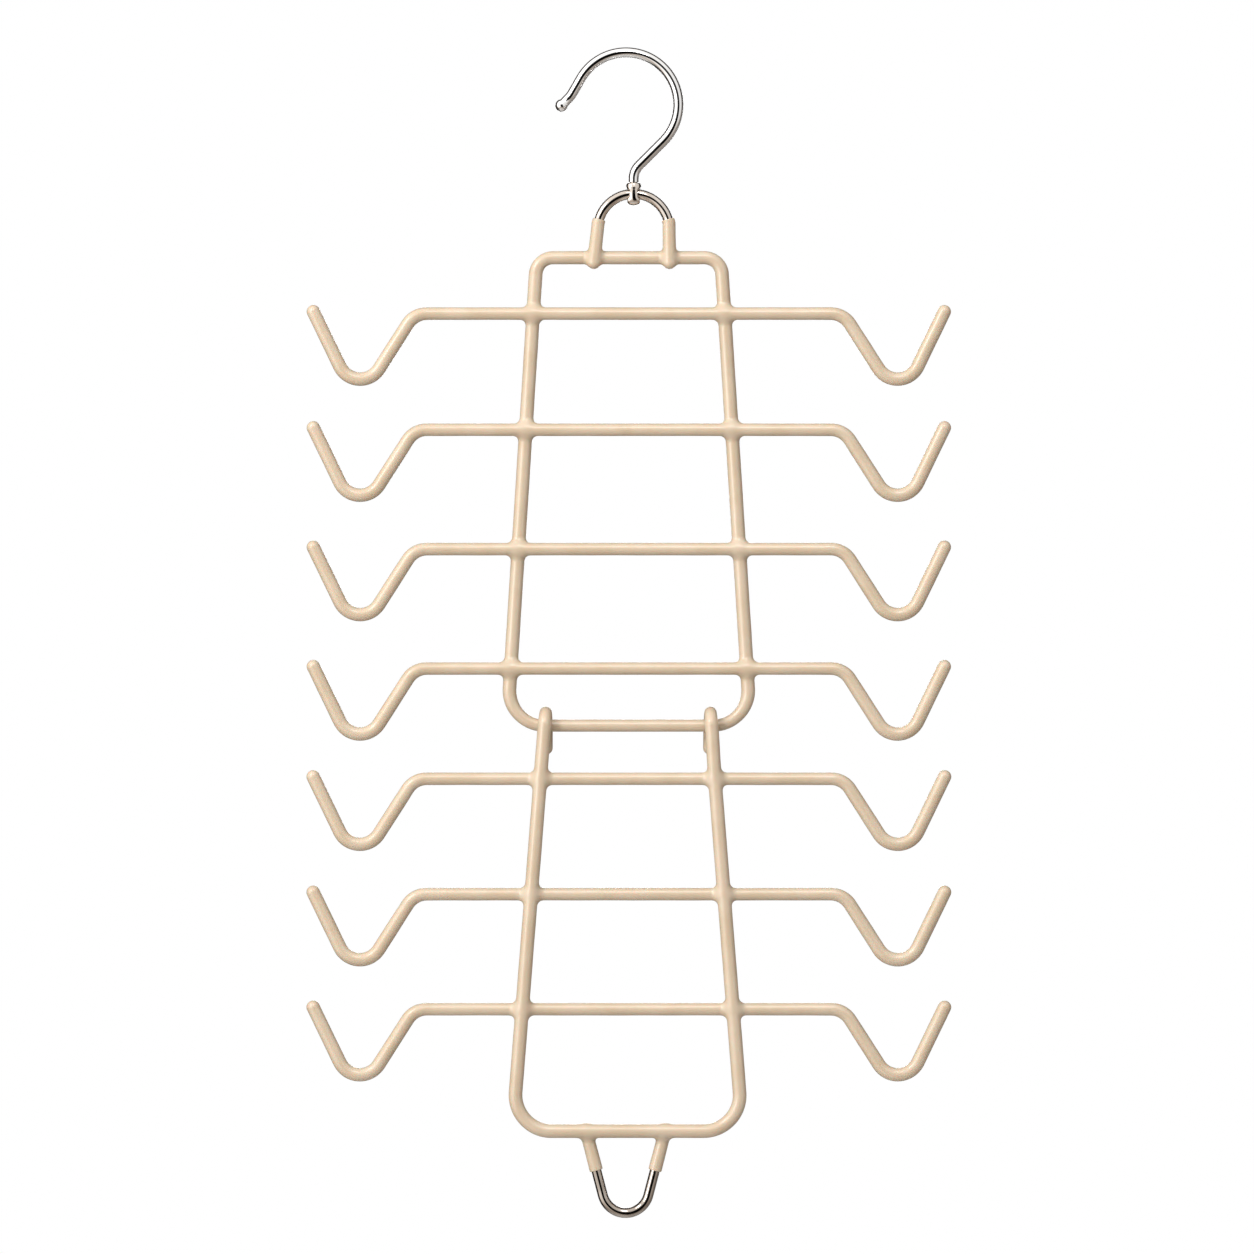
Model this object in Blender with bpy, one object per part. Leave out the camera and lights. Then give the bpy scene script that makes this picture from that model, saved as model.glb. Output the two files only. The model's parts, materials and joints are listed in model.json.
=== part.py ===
"""Seven-tier underwear hanger of welded wire, dipped in PVC.

A chrome hook turns in a small eye, the eye carries the chrome arch of the upper
frame, and the lower frame hangs by two wire hooks on the upper frame's bottom bar.
Metres, +Z up, seen from -Y. The origin is the inside of the hook's crown, where
the closet rod carries the hanger.
"""
from math import acos, asin, ceil, cos, pi, radians, sin, tan

import bmesh
import bpy
from mathutils import Matrix, Vector

# Diameters of the wires and of their coats
CHROME_WIRE = 0.0040
FRAME_WIRE = 0.0038
TIER_WIRE = 0.0034
FRAME_COAT = 0.0055
HINGE_BAR_COAT = 0.0049
TIER_COAT = 0.0050
TIER_HOOK_COAT = 0.0054
ARCH_COAT = 0.0050
LOOP_COAT = 0.0051

# Fits and welds
SEAT_GAP = 0.0003
EYE_CLEARANCE = 0.0004
SET_DOWN_SHARE = 0.45
SAME_PLACE = 0.00001

# Hook
HOOK_INNER_RADIUS = 0.0189
HOOK_DROP = 0.0546
SHANK_SHIFT = 0.0030
SHANK_BEND_RADIUS = 0.0075
HOOK_TIP_ANGLE = radians(150)
HOOK_SHANK_ANGLE = radians(-45)
HOOK_TIP_LENGTH = 0.0080
HOOK_TIP_FLICK = radians(14)
HOOK_TIP_END = 0.0054
HOOK_TIP_BEND_RADIUS = 0.0080
TIP_BALL = 0.0050

# Swivel eye on the arch, and the hook's peened spigot inside it
EYE_HEIGHT = 0.0092
EYE_DEPTH = 0.0068
EYE_WIDTH = 0.0043
EYE_FOOT_SWELL_SHARE = 0.18
EYE_EDGE = 0.0006
COLLAR = 0.0059
COLLAR_TOP = 0.0043
COLLAR_FOOT = 0.0021
COLLAR_EDGE = 0.0005
COLLAR_ROOF = 0.0010
SPIGOT = 0.0024
RIVET_HEAD = 0.0036
RIVET_HEAD_HEIGHT = 0.0006
SHOULDER_CHAMFER = 0.0002

# Arch
ARCH_RADIUS = 0.0147
ARCH_SPLAY = radians(3.0)
ARCH_RISE = 0.0254
ARCH_TAIL = 0.0020
ARCH_COAT_DROP = 0.0108

# Upper frame
FRAME_SHIFT = 0.0011
UPPER_TOP_WIDTH = 0.0738
UPPER_BOTTOM_WIDTH = 0.0974
UPPER_HEIGHT = 0.1873
UPPER_TOP_CORNER = 0.0070
UPPER_BOTTOM_CORNER = 0.0140
UPPER_TIER_SHARES = (0.120, 0.368, 0.623, 0.878)

# Lower frame
LOWER_SHIFT = -0.0005
LOWER_TOP_WIDTH = 0.0664
LOWER_BOTTOM_WIDTH = 0.0919
LOWER_HEIGHT = 0.1619
LOWER_CORNER = 0.0144
HOOK_RETURN = 0.0090
LOWER_TIER_SHARES = (0.131, 0.416, 0.700)

# Tier: places of the wire's corners, before they are rounded
TIER_WIDTH = 0.2524
TROUGH_WIDTH = 0.0404
TROUGH_POINT = 0.0228
TROUGH_DROP = 0.0356
TIER_TIP_RISE = 0.0008
TIER_BEND_RADIUS = 0.0090

# Bottom loop
LOOP_SHIFT = -0.0006
LOOP_RADIUS = 0.0096
LOOP_TILT = radians(14.6)
LOOP_DEPTH = 0.0329
LOOP_COAT_DROP = 0.0154

# Roundness of the bends, the wires and the turned pieces
BEND_STEP = radians(25)
CHROME_BEND_STEP = radians(15)
FRAME_SIDES = 10
TIER_SIDES = 8
TURNED_SIDES = 16
EDGE_SEGMENTS = 2
EDGE_PROFILE_SHARE = 0.5
DOME_ANGLES = (radians(0), radians(40), radians(72))
BALL_END_ANGLE = radians(80)
BALL_RINGS = 6
SMOOTH_ANGLE = radians(50)

# Sizes that follow from the ones above
HOOK_RADIUS = HOOK_INNER_RADIUS + CHROME_WIRE / 2
HINGE_REACH = HINGE_BAR_COAT / 2 + SEAT_GAP + FRAME_COAT / 2
EYE_BORE = CHROME_WIRE + 2 * EYE_CLEARANCE
TIER_SHOULDER = TIER_WIDTH / 2 - TROUGH_WIDTH

# Finishes: colour, roughness and metallic
CHROME = ((0.62, 0.61, 0.60, 1.0), 0.10, 1.0)
STEEL = ((0.34, 0.34, 0.35, 1.0), 0.45, 1.0)
PVC = ((0.80, 0.66, 0.52, 1.0), 0.30, 0.0)

X_AXIS = Vector((1, 0, 0))
Z_AXIS = Vector((0, 0, 1))


def empty_scene():
    """Remove every object, and add one collection for the parts and one for the cutters."""
    for old in list(bpy.data.objects):
        bpy.data.objects.remove(old, do_unlink=True)
    parts = bpy.data.collections.new("seven_tier_underwear_hanger")
    cutters = bpy.data.collections.new("cutters")
    for group in (parts, cutters):
        bpy.context.scene.collection.children.link(group)
    return parts, cutters


PARTS, CUTTERS = empty_scene()


def weld_offset(wire_a, wire_b):
    """Distance between the centre lines of two crossed wires after welding."""
    return (wire_a + wire_b) / 2 * (1 - SET_DOWN_SHARE)


def make_axis(name, place, parent=None):
    """An empty that stands on a joint's axis and carries the pieces of one body."""
    axis = bpy.data.objects.new(name, None)
    axis.empty_display_size = HOOK_RADIUS
    axis.location = place
    axis.parent = parent
    PARTS.objects.link(axis)
    return axis


def make_finish(name, finish):
    """A Principled material of one colour for one piece."""
    colour, roughness, metallic = finish
    material = bpy.data.materials.new(name + "_finish")
    material.use_nodes = True
    shader = material.node_tree.nodes["Principled BSDF"]
    shader.inputs["Base Color"].default_value = colour
    shader.inputs["Roughness"].default_value = roughness
    shader.inputs["Metallic"].default_value = metallic
    material.diffuse_color = colour
    return material


def add_piece(name, mesh, body, finish=None):
    """Hang a mesh on its body, among the parts or, without a finish, among the cutters."""
    piece = bpy.data.objects.new(name, mesh)
    piece.parent = body
    if finish:
        mesh.materials.clear()
        mesh.materials.append(make_finish(name, finish))
        mesh.shade_smooth()
        mesh.set_sharp_from_angle(angle=SMOOTH_ANGLE)
        PARTS.objects.link(piece)
    else:
        piece.display_type = "WIRE"
        piece.hide_render = True
        CUTTERS.objects.link(piece)
    return piece


def combine(piece, other, operation):
    """Join another solid to a piece, or cut the piece by it."""
    boolean = piece.modifiers.new(other.name, "BOOLEAN")
    boolean.operation = operation
    boolean.object = other


def cut(piece, cutters):
    """Cut a piece by each of the cutters."""
    for cutter in cutters:
        combine(piece, cutter, "DIFFERENCE")


def polar(centre, radius, angle):
    """The point at an angle on a circle in the XZ plane."""
    return centre + Vector((radius * cos(angle), 0, radius * sin(angle)))


def arc(centre, radius, start, end, step):
    """Points of an arc in the XZ plane, from one angle to the other."""
    count = max(1, ceil(abs(end - start) / step))
    return [polar(centre, radius, start + (end - start) * i / count) for i in range(count + 1)]


def round_corner(before, corner, after, radius, step):
    """Points of the bend that rounds one corner of a wire's centre line."""
    back = (before - corner).normalized()
    ahead = (after - corner).normalized()
    turn = pi - acos(max(-1.0, min(1.0, back.dot(ahead))))
    start = corner + back * radius * tan(turn / 2)
    centre = start + (ahead - back * ahead.dot(back)).normalized() * radius
    axis = back.cross(ahead)
    count = max(1, ceil(turn / step))
    spoke = start - centre
    return [centre + Matrix.Rotation(-turn * i / count, 3, axis) @ spoke for i in range(count + 1)]


def bend_wire(corners, radii, closed=False, step=BEND_STEP):
    """Centre line of a wire that is straight between its corners and bent round each."""
    points = [] if closed else [corners[0]]
    first = 0 if closed else 1
    for index, radius in enumerate(radii, first):
        before = corners[index - 1]
        after = corners[(index + 1) % len(corners)]
        points += round_corner(before, corners[index], after, radius, step)
    if not closed:
        points.append(corners[-1])
    apart = [(points[i] - points[i - 1]).length > SAME_PLACE for i in range(len(points))]
    return [point for point, keep in zip(points, apart) if keep]


def lengthen(path, first=0.0, last=0.0):
    """The same centre line, longer at its first and last end."""
    longer_first = path[0] + (path[0] - path[1]).normalized() * first
    longer_last = path[-1] + (path[-1] - path[-2]).normalized() * last
    return [longer_first] + list(path[1:-1]) + [longer_last]


def shorten(path):
    """The same centre line for the steel inside a coat, clear of the coat at both ends."""
    return lengthen(path, -SEAT_GAP, -SEAT_GAP)


def dome_last(path, radii):
    """Round off a wire's last end, with the dome's tip where the centre line stops."""
    tip, size = path[-1], radii[-1]
    along = (tip - path[-2]).normalized()
    places = [tip - along * size * (1 - sin(angle)) for angle in DOME_ANGLES]
    return path[:-1] + places, radii[:-1] + [size * cos(angle) for angle in DOME_ANGLES]


def draw_curve(name, path, radii, closed, sides):
    """A bevelled curve along a centre line, with a radius at each of its points."""
    curve = bpy.data.curves.new(name, "CURVE")
    curve.dimensions = "3D"
    curve.bevel_depth = max(radii)
    curve.bevel_resolution = sides // 2 - 2
    curve.use_fill_caps = not closed
    spline = curve.splines.new("POLY")
    spline.points.add(len(path) - 1)
    for point, place, radius in zip(spline.points, path, radii):
        point.co = place.to_4d()
        point.radius = radius / max(radii)
    spline.use_cyclic_u = closed
    return curve


def make_wire(name, path, radii, body, finish=None, closed=False, sides=FRAME_SIDES, dome_ends=()):
    """A solid round wire: a part if it has a finish, and otherwise a cutter."""
    if isinstance(radii, float):
        radii = [radii] * len(path)
    if "last" in dome_ends:
        path, radii = dome_last(path, radii)
    if "first" in dome_ends:
        path, radii = dome_last(path[::-1], radii[::-1])
        path, radii = path[::-1], radii[::-1]
    curve = draw_curve(name + "_line", path, radii, closed, sides)
    drawn = bpy.data.objects.new(name + "_line", curve)
    PARTS.objects.link(drawn)
    evaluated = drawn.evaluated_get(bpy.context.evaluated_depsgraph_get())
    mesh = bpy.data.meshes.new_from_object(evaluated)
    mesh.name = name
    bpy.data.objects.remove(drawn, do_unlink=True)
    bpy.data.curves.remove(curve)
    shape = bmesh.new()
    shape.from_mesh(mesh)
    bmesh.ops.remove_doubles(shape, verts=shape.verts, dist=SAME_PLACE)
    shape.to_mesh(mesh)
    shape.free()
    return add_piece(name, mesh, body, finish)


def make_drum(name, diameter, bottom, top, body, finish=None, axis=Z_AXIS, edge=0.0):
    """A round drum between two heights on an axis, with rounded rims if they have a size."""
    shape = bmesh.new()
    radius = diameter / 2
    bmesh.ops.create_cone(shape, cap_ends=True, segments=TURNED_SIDES, radius1=radius,
                          radius2=radius, depth=top - bottom)
    if edge:
        rims = [rim for rim in shape.edges if rim.verts[0].co.z * rim.verts[1].co.z > 0]
        bmesh.ops.bevel(shape, geom=rims, offset=edge, segments=EDGE_SEGMENTS,
                        profile=EDGE_PROFILE_SHARE, affect="EDGES")
    lift = Matrix.Translation(Z_AXIS * (top + bottom) / 2)
    turn = Z_AXIS.rotation_difference(axis).to_matrix().to_4x4()
    bmesh.ops.transform(shape, matrix=turn @ lift, verts=shape.verts)
    mesh = bpy.data.meshes.new(name)
    shape.to_mesh(mesh)
    shape.free()
    return add_piece(name, mesh, body, finish)


def build_hook():
    """The chrome hook: ball tip, crown, slanted run, shank and peened spigot."""
    radius = CHROME_WIRE / 2
    centre = Vector((0, 0, -HOOK_INNER_RADIUS))
    crown = arc(centre, HOOK_RADIUS, HOOK_TIP_ANGLE, HOOK_SHANK_ANGLE, CHROME_BEND_STEP)
    downhill = HOOK_TIP_ANGLE + pi / 2
    run_end = polar(crown[0], HOOK_TIP_LENGTH, downhill)
    ball = polar(run_end, HOOK_TIP_END, downhill - HOOK_TIP_FLICK)
    tip = bend_wire([ball, run_end, crown[0]], [HOOK_TIP_BEND_RADIUS], step=CHROME_BEND_STEP)

    slant = HOOK_SHANK_ANGLE - pi / 2
    elbow = polar(crown[-1], (SHANK_SHIFT - crown[-1].x) / cos(slant), slant)
    shank_end = Vector((SHANK_SHIFT, 0, -HOOK_DROP + COLLAR_TOP + SEAT_GAP))
    shank = bend_wire([crown[-1], elbow, shank_end], [SHANK_BEND_RADIUS], step=CHROME_BEND_STEP)
    path = tip[1:-1] + crown + shank[1:-1]
    radii = [radius] * len(path)

    outward = (ball - tip[1]).normalized()
    neck_angle = -acos(CHROME_WIRE / TIP_BALL)
    for ring in range(BALL_RINGS + 1):
        angle = neck_angle + (BALL_END_ANGLE - neck_angle) * ring / BALL_RINGS
        path.insert(0, ball + outward * TIP_BALL / 2 * sin(angle))
        radii.insert(0, TIP_BALL / 2 * cos(angle))

    head_foot = -HOOK_DROP + EYE_BORE / 2
    head_top = head_foot + RIVET_HEAD_HEIGHT
    for height, diameter in (
        (shank_end.z + SHOULDER_CHAMFER, CHROME_WIRE),
        (shank_end.z, SPIGOT),
        (head_top + SHOULDER_CHAMFER, SPIGOT),
        (head_top, RIVET_HEAD),
        (head_foot, RIVET_HEAD),
    ):
        path.append(Vector((SHANK_SHIFT, 0, height)))
        radii.append(diameter / 2)
    make_wire("hook_wire", path, radii, None, CHROME)


def build_eye(body):
    """The swivel eye: a strap round the arch wire, with a collar for the hook's spigot."""
    half = EYE_WIDTH / 2
    eye = make_drum("swivel_eye", EYE_HEIGHT, -half, half, body, CHROME, X_AXIS, EYE_EDGE)
    for vertex in eye.data.vertices:
        foot_share = max(0.0, -vertex.co.z / (EYE_HEIGHT / 2))
        vertex.co.x *= 1 + EYE_FOOT_SWELL_SHARE * foot_share
        vertex.co.y *= EYE_DEPTH / EYE_HEIGHT
    collar = make_drum("eye_collar", COLLAR, COLLAR_FOOT, COLLAR_TOP, body, edge=COLLAR_EDGE)
    combine(eye, collar, "UNION")
    bore = make_drum("eye_bore", EYE_BORE, -EYE_WIDTH, EYE_WIDTH, body, axis=X_AXIS)
    pocket_top = COLLAR_TOP - COLLAR_ROOF
    pocket = make_drum("rivet_pocket", RIVET_HEAD + 2 * SEAT_GAP, 0, pocket_top, body)
    hole = make_drum("spigot_hole", SPIGOT + 2 * SEAT_GAP, 0, 2 * COLLAR_TOP, body)
    cut(eye, [bore, pocket, hole])


def build_arch(body, bar_wire_cutter, bar_coat_cutter):
    """The chrome arch on the top bar, with a coated leg on each side."""
    centre = Vector((0, 0, -ARCH_RADIUS))
    coat_angle = asin(1 - ARCH_COAT_DROP / ARCH_RADIUS)
    crown = arc(centre, ARCH_RADIUS, pi - coat_angle, coat_angle, CHROME_BEND_STEP)
    shoulder = arc(centre, ARCH_RADIUS, coat_angle, -ARCH_SPLAY, CHROME_BEND_STEP)
    drop = shoulder[-1].z + ARCH_RISE + ARCH_TAIL
    right_leg = shoulder + [shoulder[-1] + Vector((drop * tan(ARCH_SPLAY), 0, -drop))]
    left_leg = [Vector((-point.x, 0, point.z)) for point in reversed(right_leg)]

    path = left_leg[:-1] + crown + right_leg[1:]
    wire = make_wire("arch_wire", shorten(path), CHROME_WIRE / 2, body, CHROME)
    cut(wire, [bar_wire_cutter])
    grown = make_wire("arch_wire_cutter", path, CHROME_WIRE / 2 + SEAT_GAP, body)

    dome = ARCH_COAT / 2
    left_coat = make_wire("arch_left_coat", lengthen(left_leg, first=dome), dome, body, PVC,
                          dome_ends=("first",))
    right_coat = make_wire("arch_right_coat", lengthen(right_leg, last=dome), dome, body, PVC,
                           dome_ends=("last",))
    for coat in (left_coat, right_coat):
        cut(coat, [grown, bar_coat_cutter])
    return grown


def build_tier(number, body, centre, rail_wire_cutter, rail_coat_cutter):
    """One tier: a bar with a trough at each end, as a steel wire in its coat."""
    half = (
        Vector((TIER_SHOULDER, 0, 0)),
        Vector((TIER_SHOULDER + TROUGH_POINT, 0, -TROUGH_DROP)),
        Vector((TIER_SHOULDER + TROUGH_WIDTH, 0, TIER_TIP_RISE)),
    )
    corners = [centre + Vector((-place.x, 0, place.z)) for place in reversed(half)]
    corners += [centre + place for place in half]
    path = bend_wire(corners, [TIER_BEND_RADIUS] * 4)
    name = f"tier_{number}"
    wire = make_wire(name + "_wire", shorten(path), TIER_WIRE / 2, body, STEEL, sides=TIER_SIDES)
    cut(wire, [rail_wire_cutter])
    grown = make_wire(name + "_wire_cutter", path, TIER_WIRE / 2 + SEAT_GAP, body, sides=TIER_SIDES)

    dome = TIER_HOOK_COAT / 2
    on_bar = [abs(point.x - centre.x) < TIER_SHOULDER for point in path]
    coat_radii = [TIER_COAT / 2 if plain else dome for plain in on_bar]
    coat = make_wire(name + "_coat", lengthen(path, dome, dome), coat_radii, body, PVC,
                     sides=TIER_SIDES, dome_ends=("first", "last"))
    cut(coat, [grown, rail_coat_cutter])
    return grown


def build_upper(body):
    """The upper frame with its arch and its tiers, about the arch's crown."""
    bar_depth = weld_offset(CHROME_WIRE, FRAME_WIRE)
    middle = Vector((FRAME_SHIFT - SHANK_SHIFT, bar_depth, -ARCH_RISE))
    top, bottom = UPPER_TOP_WIDTH / 2, UPPER_BOTTOM_WIDTH / 2
    corners = [middle + Vector(place) for place in (
        (-top, 0, 0),
        (top, 0, 0),
        (bottom, 0, -UPPER_HEIGHT),
        (-bottom, 0, -UPPER_HEIGHT),
    )]
    corner_radii = [UPPER_TOP_CORNER] * 2 + [UPPER_BOTTOM_CORNER] * 2
    path = bend_wire(corners, corner_radii, closed=True)
    coat_radii = []
    for point in path:
        rail_share = min(1.0, (point.z - middle.z + UPPER_HEIGHT) / UPPER_BOTTOM_CORNER)
        coat_radii.append((HINGE_BAR_COAT + (FRAME_COAT - HINGE_BAR_COAT) * rail_share) / 2)

    make_wire("upper_frame_wire", path, FRAME_WIRE / 2, body, STEEL, closed=True)
    coat = make_wire("upper_frame_coat", path, coat_radii, body, PVC, closed=True)
    wire_cutter = make_wire("upper_frame_wire_cutter", path, FRAME_WIRE / 2 + SEAT_GAP, body,
                            closed=True)
    grown_radii = [radius + SEAT_GAP for radius in coat_radii]
    coat_cutter = make_wire("upper_frame_coat_cutter", path, grown_radii, body, closed=True)

    grown = [build_arch(body, wire_cutter, coat_cutter)]
    tier_depth = bar_depth - weld_offset(TIER_WIRE, FRAME_WIRE)
    for number, share in enumerate(UPPER_TIER_SHARES, 1):
        centre = Vector((middle.x, tier_depth, middle.z - UPPER_HEIGHT * share))
        grown.append(build_tier(number, body, centre, wire_cutter, coat_cutter))
    cut(coat, [wire_cutter] + grown)


def build_loop(body, bar_centre, bar_wire_cutter, bar_coat_cutter):
    """The bare chrome loop under the bottom bar, with a coated leg on each side."""
    point_drop = LOOP_DEPTH - LOOP_RADIUS + LOOP_RADIUS / sin(LOOP_TILT)
    spread = point_drop * tan(LOOP_TILT)
    half = Vector((spread, 0, 0))
    corners = [bar_centre - half, bar_centre - Z_AXIS * point_drop, bar_centre + half]
    path = bend_wire(corners, [LOOP_RADIUS], step=CHROME_BEND_STEP)
    wire = make_wire("bottom_loop_wire", shorten(path), CHROME_WIRE / 2, body, CHROME)
    cut(wire, [bar_wire_cutter])
    grown = make_wire("bottom_loop_wire_cutter", path, CHROME_WIRE / 2 + SEAT_GAP, body)

    dome = LOOP_COAT / 2
    for side, name in ((-1, "loop_left_coat"), (1, "loop_right_coat")):
        head = bar_centre + Vector((side * spread, 0, 0))
        foot = head + Vector((-side * LOOP_COAT_DROP * tan(LOOP_TILT), 0, -LOOP_COAT_DROP))
        coat = make_wire(name, lengthen([head, foot], first=dome), dome, body, PVC, dome_ends=("first",))
        cut(coat, [grown, bar_coat_cutter])
    return grown


def build_lower(body):
    """The lower frame with its loop and its tiers, about the bar that it hangs on."""
    reach = HINGE_REACH
    top, bottom = LOWER_TOP_WIDTH / 2, LOWER_BOTTOM_WIDTH / 2
    crown = top - (bottom - top) * reach / LOWER_HEIGHT
    half = (
        (bottom, -reach, -LOWER_HEIGHT),
        (crown, -reach, reach),
        (crown, reach, reach),
        (crown, reach, -HOOK_RETURN),
    )
    corners = [Vector((LOWER_SHIFT - x, y, z)) for x, y, z in reversed(half)]
    corners += [Vector((LOWER_SHIFT + x, y, z)) for x, y, z in half]
    path = bend_wire(corners, [reach, reach, LOWER_CORNER, LOWER_CORNER, reach, reach])
    dome = FRAME_COAT / 2
    coat_path = lengthen(path, dome, dome)

    make_wire("lower_frame_wire", shorten(path), FRAME_WIRE / 2, body, STEEL)
    coat = make_wire("lower_frame_coat", coat_path, dome, body, PVC, dome_ends=("first", "last"))
    wire_cutter = make_wire("lower_frame_wire_cutter", path, FRAME_WIRE / 2 + SEAT_GAP, body)
    coat_cutter = make_wire("lower_frame_coat_cutter", coat_path, dome + SEAT_GAP, body)

    loop_depth = weld_offset(CHROME_WIRE, FRAME_WIRE) - reach
    bar_centre = Vector((LOWER_SHIFT + LOOP_SHIFT, loop_depth, -LOWER_HEIGHT))
    grown = [build_loop(body, bar_centre, wire_cutter, coat_cutter)]
    tier_depth = weld_offset(TIER_WIRE, FRAME_WIRE) - reach
    for number, share in enumerate(LOWER_TIER_SHARES, 1 + len(UPPER_TIER_SHARES)):
        centre = Vector((0, tier_depth, -LOWER_HEIGHT * share))
        grown.append(build_tier(number, body, centre, wire_cutter, coat_cutter))
    cut(coat, [wire_cutter] + grown)


def main():
    """Build the hanger from its hook down, each body on the axis that it turns about."""
    bar_depth = weld_offset(CHROME_WIRE, FRAME_WIRE)
    swivel = make_axis("hook_swivel_axis", Vector((SHANK_SHIFT, 0, -HOOK_DROP)))
    rock = make_axis("frame_rock_axis", Vector(), swivel)
    fold_place = Vector((FRAME_SHIFT - SHANK_SHIFT, bar_depth, -ARCH_RISE - UPPER_HEIGHT))
    fold = make_axis("lower_fold_axis", fold_place, rock)
    build_hook()
    build_eye(swivel)
    build_upper(rock)
    build_lower(fold)
    bpy.context.view_layer.update()


main()
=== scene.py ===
"""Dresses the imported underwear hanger: chrome wires, a polished swivel eye and dipped PVC skins.

Metres, +Z up, seen from -Y. The origin is the inside of the hook's crown, where the rod
carries the hanger.
"""
import json
import logging
from dataclasses import dataclass, replace
from enum import Enum
from math import acos, asin, ceil, cos, pi, radians, sin, tan

import bmesh
import bpy
import numpy as np
from mathutils import Matrix, Vector


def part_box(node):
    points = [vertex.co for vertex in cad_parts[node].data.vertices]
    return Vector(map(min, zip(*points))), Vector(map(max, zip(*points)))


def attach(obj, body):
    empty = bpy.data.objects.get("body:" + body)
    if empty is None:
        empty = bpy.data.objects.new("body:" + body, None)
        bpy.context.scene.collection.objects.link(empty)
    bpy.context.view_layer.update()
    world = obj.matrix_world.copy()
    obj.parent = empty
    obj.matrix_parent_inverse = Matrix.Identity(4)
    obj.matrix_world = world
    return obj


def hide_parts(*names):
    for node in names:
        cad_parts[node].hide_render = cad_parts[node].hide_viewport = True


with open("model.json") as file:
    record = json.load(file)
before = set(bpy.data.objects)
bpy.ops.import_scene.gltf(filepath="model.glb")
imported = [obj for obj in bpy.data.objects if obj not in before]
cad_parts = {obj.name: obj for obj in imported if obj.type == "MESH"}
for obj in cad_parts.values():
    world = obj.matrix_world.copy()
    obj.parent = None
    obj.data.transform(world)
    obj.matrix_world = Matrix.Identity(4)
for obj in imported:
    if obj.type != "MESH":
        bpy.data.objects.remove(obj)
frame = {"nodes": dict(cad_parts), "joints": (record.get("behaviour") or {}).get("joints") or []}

LOG = logging.getLogger("underwear_hanger")
MM = 0.001
FAR = 1.0
TINY = 1e-9
SAME_PLACE = 0.01 * MM
SHARP_ANGLE = radians(60)


class Slot(Enum):
    """The record's material slots."""

    CHROME = "chrome"
    PVC = "pvc_coat"
    STEEL = "wire_core"


class Side(Enum):
    """The two sides of the hanger as the camera sees it."""

    LEFT = -1
    RIGHT = 1


class Body(Enum):
    """The CAD bodies that the pieces ride on."""

    HOOK = "hook"
    EYE = "eye"
    UPPER = "upper_frame"
    LOWER = "lower_frame"


def joint_place(name: str) -> Vector:
    """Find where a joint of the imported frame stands.

    Args:
        name: The joint's name in the record.

    Returns:
        The joint's point at rest.
    """
    joint = next(joint for joint in frame["joints"] if joint["name"] == name)
    return Vector(joint["pos_m"])


def depth_of(node: str) -> float:
    """Find how far back a CAD node's middle lies.

    Args:
        node: The node's name.

    Returns:
        The middle of the node's box along Y.
    """
    low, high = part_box(node)
    return (low.y + high.y) / 2


def smooth_step(low: float, high: float, values: np.ndarray) -> np.ndarray:
    """Ease from 0 to 1 between two values.

    Args:
        low: Where the step starts.
        high: Where the step ends.
        values: What is eased.

    Returns:
        The eased shares.
    """
    share = np.clip((values - low) / (high - low), 0, 1)
    return share * share * (3 - 2 * share)


def round_union(first: np.ndarray, first_slope: np.ndarray, second: np.ndarray, second_slope: np.ndarray,
                radius: np.ndarray | float) -> tuple[np.ndarray, np.ndarray]:
    """Join two forms, each given by its distance and slope, with a fillet.

    Args:
        first: The distance to one form.
        first_slope: Its slope.
        second: The distance to the other form.
        second_slope: Its slope.
        radius: The fillet's radius.

    Returns:
        The distance to both together, and its slope.
    """
    reach = np.maximum(radius - first, 0)
    second_reach = np.maximum(radius - second, 0)
    depth = np.hypot(reach, second_reach)
    turned = reach[:, None] * first_slope + second_reach[:, None] * second_slope
    nearer = np.where((first < second)[:, None], first_slope, second_slope)
    slope = np.where((depth > TINY)[:, None], turned / np.maximum(depth, TINY)[:, None], nearer)
    return np.maximum(radius, np.minimum(first, second)) - depth, slope


def polar(centre: Vector, radius: float, angle: float) -> Vector:
    """Give the point at an angle on a circle in the XZ plane.

    Args:
        centre: The circle's centre.
        radius: The circle's radius.
        angle: The angle from +X towards +Z.

    Returns:
        The point.
    """
    return centre + Vector((radius * cos(angle), 0, radius * sin(angle)))


def arc(centre: Vector, radius: float, start: float, end: float, step: float) -> list[Vector]:
    """Give the points of an arc in the XZ plane.

    Args:
        centre: The arc's centre.
        radius: The arc's radius.
        start: The first angle.
        end: The last angle.
        step: The largest angle between two points.

    Returns:
        The points from one angle to the other.
    """
    count = max(1, ceil(abs(end - start) / step))
    return [polar(centre, radius, start + (end - start) * i / count) for i in range(count + 1)]


def round_corner(before: Vector, corner: Vector, after: Vector, radius: float, step: float) -> list[Vector]:
    """Round one corner of a centre line.

    Args:
        before: The point before the corner.
        corner: The corner.
        after: The point after the corner.
        radius: The bend's radius.
        step: The largest angle between two points.

    Returns:
        The points of the bend.
    """
    back = (before - corner).normalized()
    ahead = (after - corner).normalized()
    turn = pi - acos(max(-1.0, min(1.0, back.dot(ahead))))
    start = corner + back * radius * tan(turn / 2)
    centre = start + (ahead - back * ahead.dot(back)).normalized() * radius
    axis = back.cross(ahead)
    spoke = start - centre
    count = max(1, ceil(turn / step))
    return [centre + Matrix.Rotation(-turn * i / count, 3, axis) @ spoke for i in range(count + 1)]


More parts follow.
